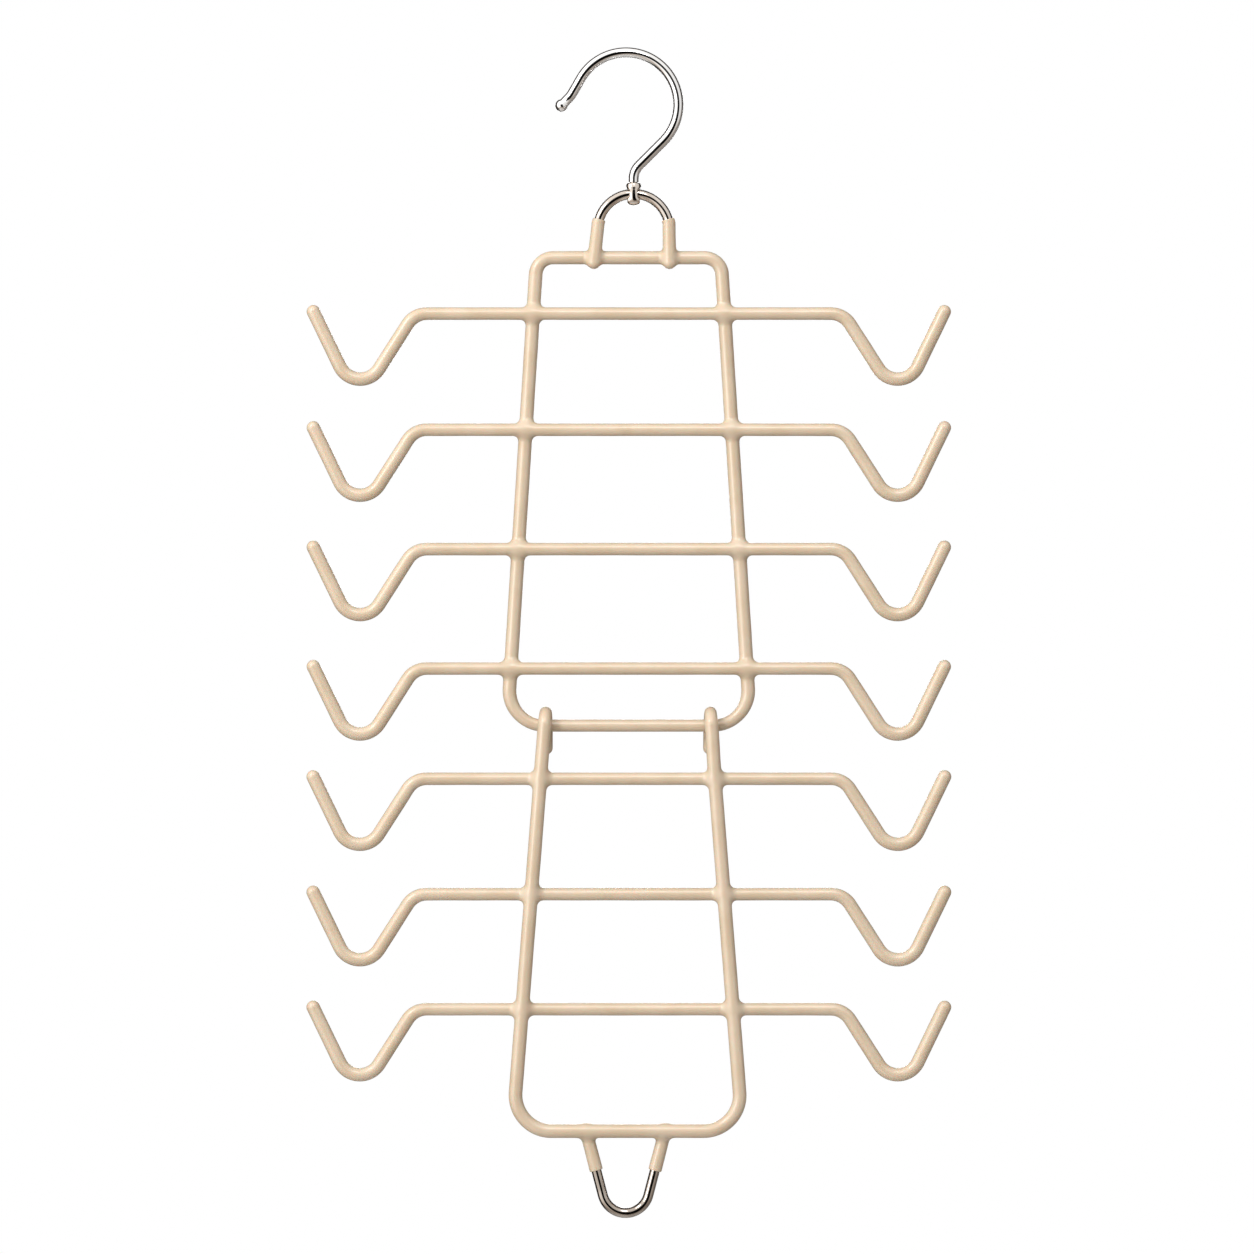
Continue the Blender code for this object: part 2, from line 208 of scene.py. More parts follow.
def bend_wire(corners: list[Vector], radii: list[float], closed: bool, step: float) -> list[Vector]:
    """Bend a wire that is straight between its corners.

    Args:
        corners: The corners, with both ends of an open wire.
        radii: The bend's radius at each corner that is bent.
        closed: Whether the wire is a ring.
        step: The largest angle between two points of a bend.

    Returns:
        The wire's centre line.
    """
    points = [] if closed else [corners[0]]
    for index, radius in enumerate(radii, 0 if closed else 1):
        after = corners[(index + 1) % len(corners)]
        points += round_corner(corners[index - 1], corners[index], after, radius, step)
    if not closed:
        points.append(corners[-1])
    apart = [(point - points[i - 1]).length > SAME_PLACE for i, point in enumerate(points)]
    return [point for point, keep in zip(points, apart) if keep]


def even_out(points: list[Vector], closed: bool, spacing: float) -> list[Vector]:
    """Add points on the long straight runs of a centre line.

    Args:
        points: The centre line.
        closed: Whether it is a ring.
        spacing: The longest run that is left.

    Returns:
        The same line with no run longer than the spacing.
    """
    ends = points[1:] + ([points[0]] if closed else [])
    filled = []
    for start, end in zip(points, ends):
        count = max(1, ceil((end - start).length / spacing))
        filled += [start.lerp(end, i / count) for i in range(count)]
    return filled if closed else filled + [points[-1]]


class NodeSheet:
    """A node tree, with short ways to place nodes and to wire them."""

    SHARE_INPUT = 0
    FIRST_INPUT = 6
    SECOND_INPUT = 7
    COLOUR_OUTPUT = 2

    def __init__(self, tree: bpy.types.NodeTree) -> None:
        """Take hold of a tree.

        Args:
            tree: The tree.
        """
        self.tree = tree

    def add(self, kind: str, inputs: dict[str | int, object] | None = None,
            **settings: object) -> bpy.types.Node:
        """Place a node.

        Args:
            kind: The node's type.
            inputs: What each input holds, or the output that feeds it.
            settings: The node's own settings.

        Returns:
            The new node.
        """
        node = self.tree.nodes.new(kind)
        for name, value in settings.items():
            setattr(node, name, value)
        for name, value in (inputs or {}).items():
            if isinstance(value, bpy.types.NodeSocket):
                self.tree.links.new(value, node.inputs[name])
            else:
                node.inputs[name].default_value = value
        return node

    def math(self, operation: str, *values: object) -> bpy.types.NodeSocket:
        """Work out a number.

        Args:
            operation: The Math node's operation.
            values: Its inputs in order.

        Returns:
            The result's socket.
        """
        return self.add("ShaderNodeMath", dict(enumerate(values)), operation=operation).outputs[0]

    def dot(self, vector: bpy.types.NodeSocket, along: tuple[float, float, float]) -> bpy.types.NodeSocket:
        """Work out how far a vector points along another.

        Args:
            vector: The vector.
            along: The other.

        Returns:
            The dot product's socket.
        """
        node = self.add("ShaderNodeVectorMath", {0: vector, 1: along}, operation="DOT_PRODUCT")
        return node.outputs["Value"]

    def spread(self, value: bpy.types.NodeSocket, low: object, high: object,
               span: tuple[float, float] = (0.0, 1.0)) -> bpy.types.NodeSocket:
        """Spread a value smoothly between two others.

        Args:
            value: What is spread.
            low: The result at the span's start.
            high: The result at the span's end.
            span: The values between which it changes.

        Returns:
            The result's socket.
        """
        inputs = {"Value": value, "From Min": span[0], "From Max": span[1], "To Min": low, "To Max": high}
        return self.add("ShaderNodeMapRange", inputs, interpolation_type="SMOOTHSTEP").outputs["Result"]

    def blend(self, share: object, first: object, second: object) -> bpy.types.NodeSocket:
        """Mix two colours.

        Args:
            share: The second colour's share.
            first: The first colour.
            second: The second colour.

        Returns:
            The mixed colour's socket.
        """
        inputs = {self.SHARE_INPUT: share, self.FIRST_INPUT: first, self.SECOND_INPUT: second}
        return self.add("ShaderNodeMix", inputs, data_type="RGBA").outputs[self.COLOUR_OUTPUT]


def new_group(name: str, inputs: dict[str, str], outputs: dict[str, str]) -> NodeSheet:
    """Start a shader node group.

    Args:
        name: The group's name.
        inputs: Each input's socket type.
        outputs: Each output's socket type.

    Returns:
        The sheet of the group's tree.
    """
    tree = bpy.data.node_groups.new(name, "ShaderNodeTree")
    for way, sockets in (("INPUT", inputs), ("OUTPUT", outputs)):
        for socket, kind in sockets.items():
            tree.interface.new_socket(socket, in_out=way, socket_type=kind)
    return NodeSheet(tree)


class Effects:
    """The shader effects that several finishes share, each built once as a node group."""

    NUMBER = "NodeSocketFloat"
    COLOUR = "NodeSocketColor"
    MOTTLE_DETAIL = 3.0
    MOTTLE_ROUGHNESS = 0.5
    MOTTLE_SPAN = (0.34, 0.66)
    GRAIN_DETAIL = 2.0
    GRAIN_ROUGHNESS = 0.45
    WAVE_RATIO = 6.0
    WAVE_DETAIL = 0.0
    WAVE_ROUGHNESS = 0.5
    BROAD_DETAIL = 2.0
    BROAD_ROUGHNESS = 0.55
    FINE_RATIO = 2.5
    FINE_DETAIL = 4.0
    FINE_ROUGHNESS = 0.6
    SMUDGE_SPAN = (0.20, 0.36)

    def __init__(self) -> None:
        """Build the groups."""
        self.mottle = self._mottle()
        self.relief = self._relief()
        self.smudges = self._smudges()

    def _noise(self, sheet: NodeSheet, size: object, detail: float,
               roughness: float) -> bpy.types.NodeSocket:
        """Add noise whose lumps have a real size.

        Args:
            sheet: The tree to add to.
            size: The lumps' size.
            detail: How many finer layers it has.
            roughness: How strong the finer layers are.

        Returns:
            The noise's value.
        """
        place = sheet.add("ShaderNodeTexCoord").outputs["Object"]
        scale = sheet.math("DIVIDE", 1.0, size)
        inputs = {"Vector": place, "Scale": scale, "Detail": detail, "Roughness": roughness}
        return sheet.add("ShaderNodeTexNoise", inputs).outputs["Fac"]

    def _mottle(self) -> bpy.types.NodeTree:
        """Build slow changes of colour, as in poured or plated stuff.

        Returns:
            The group, with a colour.
        """
        inputs = {"Size": self.NUMBER, "First": self.COLOUR, "Second": self.COLOUR}
        sheet = new_group("slow_mottle", inputs, {"Colour": self.COLOUR})
        given = sheet.add("NodeGroupInput").outputs
        noise = self._noise(sheet, given["Size"], self.MOTTLE_DETAIL, self.MOTTLE_ROUGHNESS)
        mask = sheet.spread(noise, 0.0, 1.0, self.MOTTLE_SPAN)
        sheet.add("NodeGroupOutput", {"Colour": sheet.blend(mask, given["First"], given["Second"])})
        return sheet.tree

    def _relief(self) -> bpy.types.NodeTree:
        """Build a fine grain on slow waves.

        Returns:
            The group, with a height for a Bump node.
        """
        inputs = {"Grain Size": self.NUMBER, "Wave Share": self.NUMBER}
        sheet = new_group("fine_relief", inputs, {"Height": self.NUMBER})
        given = sheet.add("NodeGroupInput").outputs
        grain = self._noise(sheet, given["Grain Size"], self.GRAIN_DETAIL, self.GRAIN_ROUGHNESS)
        wave_size = sheet.math("MULTIPLY", given["Grain Size"], self.WAVE_RATIO)
        waves = self._noise(sheet, wave_size, self.WAVE_DETAIL, self.WAVE_ROUGHNESS)
        grain_part = sheet.math("MULTIPLY", grain, sheet.math("SUBTRACT", 1.0, given["Wave Share"]))
        wave_part = sheet.math("MULTIPLY", waves, given["Wave Share"])
        sheet.add("NodeGroupOutput", {"Height": sheet.math("ADD", grain_part, wave_part)})
        return sheet.tree

    def _smudges(self) -> bpy.types.NodeTree:
        """Build the faint patches that handling leaves on a bright surface.

        Returns:
            The group, with a roughness.
        """
        inputs = {"Size": self.NUMBER, "Clean": self.NUMBER, "Touched": self.NUMBER}
        sheet = new_group("handling_smudges", inputs, {"Roughness": self.NUMBER})
        given = sheet.add("NodeGroupInput").outputs
        broad = self._noise(sheet, given["Size"], self.BROAD_DETAIL, self.BROAD_ROUGHNESS)
        fine_size = sheet.math("DIVIDE", given["Size"], self.FINE_RATIO)
        fine = self._noise(sheet, fine_size, self.FINE_DETAIL, self.FINE_ROUGHNESS)
        both = sheet.math("MULTIPLY", broad, fine)
        roughness = sheet.spread(both, given["Clean"], given["Touched"], self.SMUDGE_SPAN)
        sheet.add("NodeGroupOutput", {"Roughness": roughness})
        return sheet.tree


@dataclass(frozen=True)
class Finish:
    """A finish of one surface, made from the shared effects."""

    name: str
    slot: Slot
    colour: tuple[float, float, float]
    shade: tuple[float, float, float]
    mottle_size: float
    clean_roughness: float
    touched_roughness: float
    smudge_size: float
    grain_size: float
    wave_share: float
    relief_height: float
    metallic: float = 0.0
    coat_weight: float = 0.0
    coat_roughness: float = 0.1
    flesh_share: float = 0.0
    flesh_depth: float = 0.0015

    def material(self, effects: Effects) -> bpy.types.Material:
        """Build the material.

        Args:
            effects: The shared node groups.

        Returns:
            The finished material.
        """
        material = bpy.data.materials.new(self.name)
        material.use_nodes = True
        material.diffuse_color = (*self.colour, 1)
        sheet = NodeSheet(material.node_tree)
        shader = material.node_tree.nodes["Principled BSDF"]
        colours = {"Size": self.mottle_size, "First": (*self.colour, 1), "Second": (*self.shade, 1)}
        mottle = sheet.add("ShaderNodeGroup", colours, node_tree=effects.mottle)
        wear = {"Size": self.smudge_size, "Clean": self.clean_roughness, "Touched": self.touched_roughness}
        smudges = sheet.add("ShaderNodeGroup", wear, node_tree=effects.smudges)
        lumps = {"Grain Size": self.grain_size, "Wave Share": self.wave_share}
        relief = sheet.add("ShaderNodeGroup", lumps, node_tree=effects.relief)
        height = {"Strength": 1.0, "Distance": self.relief_height, "Height": relief.outputs["Height"]}
        bump = sheet.add("ShaderNodeBump", height)
        links = material.node_tree.links
        links.new(mottle.outputs["Colour"], shader.inputs["Base Color"])
        links.new(smudges.outputs["Roughness"], shader.inputs["Roughness"])
        links.new(bump.outputs["Normal"], shader.inputs["Normal"])
        shader.inputs["Metallic"].default_value = self.metallic
        shader.inputs["Coat Weight"].default_value = self.coat_weight
        shader.inputs["Coat Roughness"].default_value = self.coat_roughness
        if self.flesh_share:
            shader.inputs["Subsurface Weight"].default_value = self.flesh_share
            shader.inputs["Subsurface Scale"].default_value = self.flesh_depth
        return material


DIPPED_PVC = Finish(
    name="cream_dipped_pvc",
    slot=Slot.PVC,
    colour=(0.648, 0.525, 0.390),
    shade=(0.61, 0.485, 0.345),
    mottle_size=0.012,
    clean_roughness=0.29,
    touched_roughness=0.37,
    smudge_size=0.009,
    grain_size=0.0012,
    wave_share=0.75,
    relief_height=0.00001,
    coat_weight=0.4,
    coat_roughness=0.24,
    flesh_share=0.25,
)
BRIGHT_CHROME = Finish(
    name="bright_chrome",
    slot=Slot.CHROME,
    colour=(0.93, 0.925, 0.92),
    shade=(0.88, 0.87, 0.86),
    mottle_size=0.008,
    clean_roughness=0.05,
    touched_roughness=0.11,
    smudge_size=0.005,
    grain_size=0.0012,
    wave_share=0.8,
    relief_height=0.000003,
    metallic=1.0,
)
# The bright chrome again, with a darker and warmer base colour for the arch and the eye: painted shade and
# painted warm reflection.
PAINTED_SHADE_CHROME = replace(
    BRIGHT_CHROME,
    name="chrome_with_painted_shade",
    colour=(0.74, 0.675, 0.615),
    shade=(0.62, 0.55, 0.485),
    mottle_size=0.006,
    clean_roughness=0.06,
    touched_roughness=0.13,
    smudge_size=0.004,
)
# A still darker copy of the same chrome for the bottom loop: painted shade in the base colour.
DEEPER_PAINTED_SHADE_CHROME = replace(
    PAINTED_SHADE_CHROME,
    name="chrome_with_deeper_painted_shade",
    colour=(0.50, 0.445, 0.395),
    shade=(0.38, 0.33, 0.285),
    clean_roughness=0.07,
    touched_roughness=0.14,
)
DRAWN_STEEL = Finish(
    name="drawn_steel",
    slot=Slot.STEEL,
    colour=(0.42, 0.42, 0.43),
    shade=(0.33, 0.32, 0.32),
    mottle_size=0.004,
    clean_roughness=0.32,
    touched_roughness=0.48,
    smudge_size=0.003,
    grain_size=0.0003,
    wave_share=0.3,
    relief_height=0.00001,
    metallic=1.0,
)


class Wardrobe:
    """The materials, one for each finish, built once."""

    def __init__(self) -> None:
        """Build the shared effects and the materials."""
        effects = Effects()
        finishes = (DIPPED_PVC, BRIGHT_CHROME, PAINTED_SHADE_CHROME, DEEPER_PAINTED_SHADE_CHROME, DRAWN_STEEL)
        self.materials = {finish.name: finish.material(effects) for finish in finishes}

    def dress(self, piece: bpy.types.Object, finish: Finish) -> None:
        """Give a piece its finish.

        Args:
            piece: The piece.
            finish: Its finish.
        """
        piece.data.materials.clear()
        piece.data.materials.append(self.materials[finish.name])

    def place(self, piece: bpy.types.Object, finish: Finish, body: Body, nodes: list[str]) -> None:
        """Dress a new piece, hang it on its body and let it stand for its CAD nodes.

        Args:
            piece: The piece.
            finish: Its finish.
            body: The body that it rides on.
            nodes: The CAD nodes that it stands for.
        """
        self.dress(piece, finish)
        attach(piece, body.value)
        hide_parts(*nodes)
        LOG.info("%s: %d faces, stands for %s", piece.name, len(piece.data.polygons), ", ".join(nodes))


def settled_mesh(piece: bpy.types.Object, name: str) -> bpy.types.Mesh:
    """Copy the mesh that an object's curve or modifiers give.

    Args:
        piece: The object.
        name: The new mesh's name.

    Returns:
        The new mesh.
    """
    evaluated = piece.evaluated_get(bpy.context.evaluated_depsgraph_get())
    mesh = bpy.data.meshes.new_from_object(evaluated)
    mesh.name = name
    return mesh


@dataclass(frozen=True)
class Tube:
    """A round wire or a run of coat: its centre line and its radius at each point."""

    points: list[Vector]
    radii: list[float]
    closed: bool = False

    def with_long_ends(self, first_share: float, last_share: float) -> "Tube":
        """Lengthen the ends of an open tube.

        Args:
            first_share: How far the first end moves out, as a share of its radius.
            last_share: How far the last end moves out.

        Returns:
            The longer tube.
        """
        if self.closed:
            return self
        first, last = self.points[0], self.points[-1]
        first = first + (first - self.points[1]).normalized() * self.radii[0] * first_share
        last = last + (last - self.points[-2]).normalized() * self.radii[-1] * last_share
        return Tube([first, *self.points[1:-1], last], self.radii)

    def mesh(self, name: str, sides: int) -> bpy.types.Mesh:
        """Draw the tube as a closed mesh.

        Args:
            name: The mesh's name.
            sides: How many sides its section has.

        Returns:
            The mesh.
        """
        curve = bpy.data.curves.new(name + "_line", "CURVE")
        curve.dimensions = "3D"
        curve.bevel_depth = max(self.radii)
        # A round bevel has twice as many sides as its resolution and two more.
        curve.bevel_resolution = sides // 2 - 2
        curve.use_fill_caps = not self.closed
        spline = curve.splines.new("POLY")
        spline.points.add(len(self.points) - 1)
        for point, place, radius in zip(spline.points, self.points, self.radii):
            point.co = place.to_4d()
            point.radius = radius / max(self.radii)
        spline.use_cyclic_u = self.closed
        drawn = bpy.data.objects.new(name + "_line", curve)
        bpy.context.scene.collection.objects.link(drawn)
        mesh = settled_mesh(drawn, name)
        bpy.data.objects.remove(drawn, do_unlink=True)
        bpy.data.curves.remove(curve)
        shape = bmesh.new()
        shape.from_mesh(mesh)
        bmesh.ops.remove_doubles(shape, verts=shape.verts, dist=SAME_PLACE)
        shape.to_mesh(mesh)
        shape.free()
        return mesh


def add_object(name: str, mesh: bpy.types.Mesh) -> bpy.types.Object:
    """Put a mesh in the scene.

    Args:
        name: The object's name.
        mesh: Its mesh.

    Returns:
        The object.
    """
    piece = bpy.data.objects.new(name, mesh)
    bpy.context.scene.collection.objects.link(piece)
    return piece


def smooth_wire(name: str, tube: Tube, sides: int, sharp_angle: float = SHARP_ANGLE) -> bpy.types.Object:
    """Add a bare wire, smooth but for its turned shoulders.

    Args:
        name: The piece's name.
        tube: Its shape.
        sides: How many sides its section has.
        sharp_angle: The angle from which an edge stays sharp.

    Returns:
        The piece.
    """
    piece = add_object(name, tube.mesh(name, sides))
    piece.data.shade_smooth()
    piece.data.set_sharp_from_angle(angle=sharp_angle)
    return piece


@dataclass(frozen=True)
class Strand:
    """One coated wire inside a skin.

    Its coat fills the corners where it crosses another wire. A coat with a lip ends in a flat cut
    at its first point, where the bare wire comes out.
    """

    tube: Tube
    fillet: float
    lip_way: Vector | None = None
    lip_edge: float = 0.35 * MM

    CHUNK = 4096
    DOME_SHARE = 0.6

    def rough_tube(self) -> Tube:
        """Give a plain tube that reaches into the coat's round ends."""
        return self.tube.with_long_ends(0.0 if self.lip_way else self.DOME_SHARE, self.DOME_SHARE)

    def _cut_lip(self, places: np.ndarray, gaps: np.ndarray,
                 slopes: np.ndarray) -> tuple[np.ndarray, np.ndarray]:
        """Cut the coat off at its lip.

        Args:
            places: The places, one in each row.
            gaps: The distances to the uncut coat.
            slopes: Their slopes.

        Returns:
            The distances to the cut coat and their slopes.
        """
        if self.lip_way is None:
            return gaps, slopes
        way = np.array(self.lip_way)
        past = (places - np.array(self.tube.points[0])) @ way
        ways = np.broadcast_to(-way, places.shape)
        hollow, slope = round_union(-gaps, -slopes, -past, ways, self.lip_edge)
        return -hollow, -slope

    def measure(self, places: np.ndarray) -> tuple[np.ndarray, np.ndarray]:
        """Measure how far places lie outside the coat.

        Args:
            places: The places, one in each row.

        Returns:
            The distances and their slopes.
        """
        starts = np.array(self.tube.points)
        radii = np.array(self.tube.radii)
        low, high = starts.min(axis=0), starts.max(axis=0)
        ends, end_radii = np.roll(starts, -1, axis=0), np.roll(radii, -1)
        if not self.tube.closed:
            starts, ends, radii, end_radii = starts[:-1], ends[:-1], radii[:-1], end_radii[:-1]
        runs = ends - starts
        lengths = (runs * runs).sum(axis=1)
        margin = radii.max() + 2 * self.fillet
        inside = np.all((places > low - margin) & (places < high + margin), axis=1)
        gaps = np.full(len(places), FAR)
        slopes = np.zeros_like(places)
        near = np.flatnonzero(inside)
        for rows in np.array_split(near, max(1, len(near) // self.CHUNK)):
            offsets = places[rows, None] - starts[None]
            shares = np.clip((offsets * runs).sum(axis=2) / lengths, 0, 1)
            offsets -= shares[..., None] * runs
            distances = np.sqrt((offsets * offsets).sum(axis=2))
            outside = distances - (radii + shares * (end_radii - radii))
            closest = outside.argmin(axis=1)
            row = np.arange(len(rows))
            share = shares[row, closest]
            growth = np.where((share > 0) & (share < 1), (end_radii - radii)[closest] / lengths[closest], 0)
            away = offsets[row, closest] / np.maximum(distances[row, closest], TINY)[:, None]
            gaps[rows] = outside[row, closest]
            slopes[rows] = away - growth[:, None] * runs[closest]
        return self._cut_lip(places, gaps, slopes)


@dataclass(frozen=True)
class DipWaves:
    """The slow rise and fall of a dipped coat's thickness."""

    height: float = 0.03 * MM
    lengths: tuple[float, ...] = (17 * MM, 11 * MM, 26 * MM)
    headings: tuple[tuple[float, float, float], ...] = ((0.8, 0.1, 0.6), (-0.5, 0.3, 0.8), (0.3, -0.2, 0.93))

    def measure(self, places: np.ndarray) -> tuple[np.ndarray, np.ndarray]:
        """Work out the extra thickness.

        Args:
            places: The places, one in each row.

        Returns:
            The extra thickness, and its slope.
        """
        extra = np.zeros(len(places))
        slope = np.zeros_like(places)
        for length, heading in zip(self.lengths, self.headings):
            wave = np.array(heading) * 2 * pi / length
            phase = places @ wave
            extra += self.height * np.sin(phase) / len(self.lengths)
            slope += self.height * np.cos(phase)[:, None] * wave / len(self.lengths)
        return extra, slope


class WrappedForm:
    """A closed surface that is wrapped onto a form given by a distance."""

    FACE_SIZE = 1.0 * MM
    EVENING_ROUNDS = 2
    FIRST_STEPS = 3
    FINE_CUTS = 2

    def __init__(self, name: str) -> None:
        """Set the wrap up.

        Args:
            name: The piece's name.
        """
        self.name = name
        self.fine_spots: list[tuple[Vector, float]] = []

    def measure(self, places: np.ndarray) -> tuple[np.ndarray, np.ndarray]:
        """Measure how far places lie outside the form.

        Args:
            places: The places, one in each row.

        Returns:
            The distances and their slopes.
        """
        raise NotImplementedError

    def rough_mesh(self) -> bpy.types.Mesh:
        """Draw closed bodies that together roughly fill the form.

        Returns:
            Their mesh.
        """
        raise NotImplementedError

    def _project(self, places: np.ndarray, steps: int) -> np.ndarray:
        """Move places onto the form.

        Args:
            places: The places, one in each row.
            steps: How many steps they take.

        Returns:
            The moved places.
        """
        for _ in range(steps):
            gaps, slopes = self.measure(places)
            size = np.maximum((slopes * slopes).sum(axis=1), TINY)
            places = places - slopes * (gaps / size)[:, None]
        return places

    def _refine(self, mesh: bpy.types.Mesh) -> None:
        """Split the faces near the fine spots.

        Args:
            mesh: The mesh.
        """
        shape = bmesh.new()
        shape.from_mesh(mesh)
        for centre, reach in self.fine_spots:
            edges = [
                edge for edge in shape.edges
                if all((end.co - centre).length < reach for end in edge.verts)
            ]
            bmesh.ops.subdivide_edges(shape, edges=edges, cuts=self.FINE_CUTS, use_grid_fill=True)
        shape.to_mesh(mesh)
        shape.free()

    def build(self) -> bpy.types.Object:
        """Wrap the surface.

        Returns:
            The piece, with its normals taken from the form.
        """
        piece = add_object(self.name, self.rough_mesh())
        remesh = piece.modifiers.new("even_faces", "REMESH")
        remesh.mode = "VOXEL"
        remesh.voxel_size = self.FACE_SIZE
        mesh = settled_mesh(piece, self.name)
        piece.modifiers.clear()
        rough = piece.data
        piece.data = mesh
        bpy.data.meshes.remove(rough)
        self._refine(mesh)

        places = np.empty(len(mesh.vertices) * 3)
        mesh.vertices.foreach_get("co", places)
        places = self._project(places.reshape(-1, 3), self.FIRST_STEPS)
        edges = np.empty(len(mesh.edges) * 2, np.int64)
        mesh.edges.foreach_get("vertices", edges)
        first, second = edges.reshape(-1, 2).T
        links = np.bincount(edges, minlength=len(places))
        for _ in range(self.EVENING_ROUNDS):
            totals = [
                np.bincount(first, places[second, axis], len(places))
                + np.bincount(second, places[first, axis], len(places))
                for axis in range(3)
            ]
            places = self._project(np.stack(totals, axis=1) / links[:, None], 1)
        mesh.vertices.foreach_set("co", places.ravel())
        mesh.update()
        mesh.shade_smooth()
        _, slopes = self.measure(places)
        lengths = np.maximum(np.linalg.norm(slopes, axis=1), TINY)
        mesh.normals_split_custom_set_from_vertices((slopes / lengths[:, None]).tolist())
        return piece


class DippedSkin(WrappedForm):
    """The one skin of PVC that dipping leaves over a welded frame, with a fillet at each crossing."""

    FACE_SIZE = 0.65 * MM
    EVENING_ROUNDS = 3
    ROUGH_SIDES = 10
    LIP_REACH = 3.2 * MM

    def __init__(self, name: str, strands: list[Strand]) -> None:
        """Set the skin up over its strands, with finer faces at their lips.

        Args:
            name: The piece's name.
            strands: The coated wires in it.
        """
        super().__init__(name)
        self.strands = strands
        self.waves = DipWaves()
        self.fine_spots = [(strand.tube.points[0], self.LIP_REACH) for strand in strands if strand.lip_way]

    def measure(self, places: np.ndarray) -> tuple[np.ndarray, np.ndarray]:
        """Measure how far places lie outside the skin.

        Args:
            places: The places, one in each row.

        Returns:
            The distances and their slopes.
        """
        measured = [strand.measure(places) for strand in self.strands]
        gaps = np.stack([gap for gap, _ in measured])
        slopes = np.stack([slope for _, slope in measured])
        fillets = np.array([strand.fillet for strand in self.strands])
        order = np.argsort(gaps, axis=0)[:2]
        near, next_near = np.take_along_axis(gaps, order, axis=0)
        slope, next_slope = np.take_along_axis(slopes, order[..., None], axis=0)
        gap, slope = round_union(near, slope, next_near, next_slope, fillets[order].min(axis=0))
        extra, extra_slope = self.waves.measure(places)
        return gap - extra, slope - extra_slope

    def rough_mesh(self) -> bpy.types.Mesh:
        """Draw every strand as a plain tube in one mesh.

        Returns:
            The mesh.
        """
        shape = bmesh.new()
        for strand in self.strands:
            mesh = strand.rough_tube().mesh(self.name + "_strand", self.ROUGH_SIDES)
            shape.from_mesh(mesh)
            bpy.data.meshes.remove(mesh)
        mesh = bpy.data.meshes.new(self.name + "_rough")
        shape.to_mesh(mesh)
        shape.free()
        return mesh


@dataclass
class ChromeHook:
    """The bare hook: ball tip, crown, slanted run, shank and the spigot that is peened in the eye."""

    wire: float = 4.0 * MM
    inner_radius: float = 18.9 * MM
    shank_bend: float = 7.5 * MM
    tip_angle: float = radians(150)
    shank_angle: float = radians(-45)
    tip_length: float = 8.0 * MM
    tip_flick: float = radians(14)
    tip_end: float = 5.4 * MM
    tip_bend: float = 8.0 * MM
    ball: float = 5.0 * MM
    ball_rings: int = 16
    ball_end: float = radians(88)
    shank_foot: float = 4.45 * MM
    spigot: float = 2.4 * MM
    head: float = 3.6 * MM
    head_height: float = 0.6 * MM
    head_foot: float = 2.4 * MM
    chamfer: float = 0.2 * MM
    step: float = radians(3)
    sides: int = 48
    sharp_angle: float = radians(40)

    def centre_line(self) -> tuple[list[Vector], Vector]:
        """Bend the hook's wire.

        Returns:
            Its centre line from the ball's centre to the shank's foot, and the way out of the ball.
        """
        axis = joint_place("hook_swivel")
        radius = self.inner_radius + self.wire / 2
        crown = arc(Vector((0, 0, -self.inner_radius)), radius, self.tip_angle, self.shank_angle, self.step)
        downhill = self.tip_angle + pi / 2
        run_end = polar(crown[0], self.tip_length, downhill)
        ball = polar(run_end, self.tip_end, downhill - self.tip_flick)
        tip = bend_wire([ball, run_end, crown[0]], [self.tip_bend], False, self.step)
        slant = self.shank_angle - pi / 2
        elbow = polar(crown[-1], (axis.x - crown[-1].x) / cos(slant), slant)
        foot = axis + Vector((0, 0, self.shank_foot))
        shank = bend_wire([crown[-1], elbow, foot], [self.shank_bend], False, self.step)
        return tip + crown[1:] + shank[1:], (ball - tip[1]).normalized()

    def tube(self) -> Tube:
        """Give the wire its thickness from the ball to the peened head.

        Returns:
            The hook's shape.
        """
        path, outward = self.centre_line()
        ball = path.pop(0)
        foot = path.pop()
        radii = [self.wire / 2] * len(path)
        neck = -acos(self.wire / self.ball)
        for ring in range(self.ball_rings + 1):
            angle = neck + (self.ball_end - neck) * ring / self.ball_rings
            path.insert(0, ball + outward * self.ball / 2 * sin(angle))
            radii.insert(0, self.ball / 2 * cos(angle))
        head_top = self.head_foot + self.head_height
        axis = joint_place("hook_swivel")
        for height, diameter in (
            (self.shank_foot + self.chamfer, self.wire),
            (self.shank_foot, self.wire - 2 * self.chamfer),
            (self.shank_foot, self.spigot),
            (head_top, self.spigot),
            (head_top, self.head - 2 * self.chamfer),
            (head_top - self.chamfer, self.head),
            (self.head_foot, self.head - 2 * self.chamfer),
        ):
            path.append(axis + Vector((0, 0, height)))
            radii.append(diameter / 2)
        return Tube(path, radii)

    def build(self, wardrobe: Wardrobe) -> None:
        """Build and dress the hook.

        Args:
            wardrobe: The materials.
        """
        piece = smooth_wire("chrome_hook", self.tube(), self.sides, self.sharp_angle)
        wardrobe.place(piece, BRIGHT_CHROME, Body.HOOK, ["hook_wire"])


